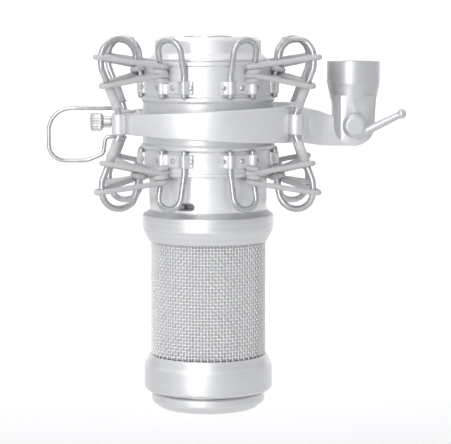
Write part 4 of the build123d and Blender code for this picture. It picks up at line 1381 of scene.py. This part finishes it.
def stage_floor():
    """A pale floor well below the object that curves up into a backdrop."""
    depth, rise, bend = 1.6, 2.4, 0.9
    floor_z = cad_low.z - 0.16
    section = [(-2.2, 0.0), (depth - bend, 0.0)]
    for k in range(1, 17):
        a = k / 16 * math.pi / 2
        section.append((depth - bend + bend * math.sin(a), bend - bend * math.cos(a)))
    section.append((depth, rise))
    verts = [(x, y, floor_z + z) for x in (-4.0, 4.0) for y, z in section]
    count = len(section)
    faces = [(i, i + 1, count + i + 1, count + i) for i in range(count - 1)]
    sweep = new_object("backdrop", verts, faces)
    look = Look("backdrop_paint", (0.82, 0.82, 0.82), 0.85)
    look.mottle(look.noise(look.coords(), 3, 3), 0.006)
    sweep.data.materials.append(look.mat)


def area_light(name, place_at, target, size, power, color=(1, 1, 1)):
    """A rectangular soft light that faces a target."""
    data = bpy.data.lights.new(name, "AREA")
    data.shape = "RECTANGLE"
    data.size, data.size_y = size
    data.energy = power
    data.color = color
    light = bpy.data.objects.new(name, data)
    light.matrix_world = Matrix.Translation(place_at) @ (
        (Vector(target) - Vector(place_at)).to_track_quat("-Z", "Y").to_matrix().to_4x4()
    )
    bpy.context.scene.collection.objects.link(light)
    return light


def lights():
    """Soft studio light: a tall key just left of the camera, a weak fill, a wash on the backdrop."""
    centre = (cad_low + cad_high) / 2
    area_light("key", centre + Vector((-0.36, -1.0, 0.3)), centre, (0.4, 1.2), 5.0)
    area_light("top", centre + Vector((-0.3, 0.1, 0.95)), centre, (0.7, 0.7), 1.4)
    wash = area_light("backdrop_wash", centre + Vector((0, 0.8, 1.1)), centre + Vector((0, 1.6, 0)), (2.4, 0.5), 8)
    wash.data.spread = math.radians(110)
    world = bpy.data.worlds.new("studio")
    world.use_nodes = True
    nodes, links = world.node_tree.nodes, world.node_tree.links
    direction = nodes.new("ShaderNodeTexCoord")
    facing = nodes.new("ShaderNodeVectorMath")
    facing.operation = "DOT_PRODUCT"
    facing.inputs[1].default_value = (-0.75, 0.55, 0.35)
    strength = nodes.new("ShaderNodeMapRange")
    strength.inputs["From Min"].default_value = -0.9
    strength.inputs["From Max"].default_value = 0.8
    strength.inputs["To Min"].default_value = 0.66
    strength.inputs["To Max"].default_value = 0.9
    links.new(direction.outputs["Generated"], facing.inputs[0])
    links.new(facing.outputs["Value"], strength.inputs["Value"])
    links.new(strength.outputs[0], nodes["Background"].inputs["Strength"])
    nodes["Background"].inputs["Color"].default_value = (0.97, 0.98, 1.0, 1)
    bpy.context.scene.world = world
    bpy.context.scene.view_settings.view_transform = "Standard"


def camera():
    """A long lens at the front, a little above the microphone."""
    centre = (cad_low + cad_high) / 2
    place_at = Vector((centre.x, -0.75, RING.z + 39 * MM))
    data = bpy.data.cameras.new("camera")
    data.lens = 158
    data.sensor_width = 36
    data.clip_start = 0.01
    view = bpy.data.objects.new("camera", data)
    view.matrix_world = Matrix.Translation(place_at) @ (
        (centre - place_at).to_track_quat("-Z", "Y").to_matrix().to_4x4()
    )
    bpy.context.scene.collection.objects.link(view)
    bpy.context.scene.camera = view


# ------------------------------------------------------------------ making it all

camera()
stage_floor()
lights()
body_shell()
housing_rings()
end_cap()
screws()
woven_wires()
cradle_band()
hooks("arches_upper", 1, "hooks_upper")
hooks("arches_lower", -1, "hooks_lower")
saddles()
screw_boss()
thumbscrew()
outer_ring()
arms()
elastic_cords()
cable_loop()
yoke()
socket()
insert()
pivot_bolt()
lever()
finish_kept_nodes()
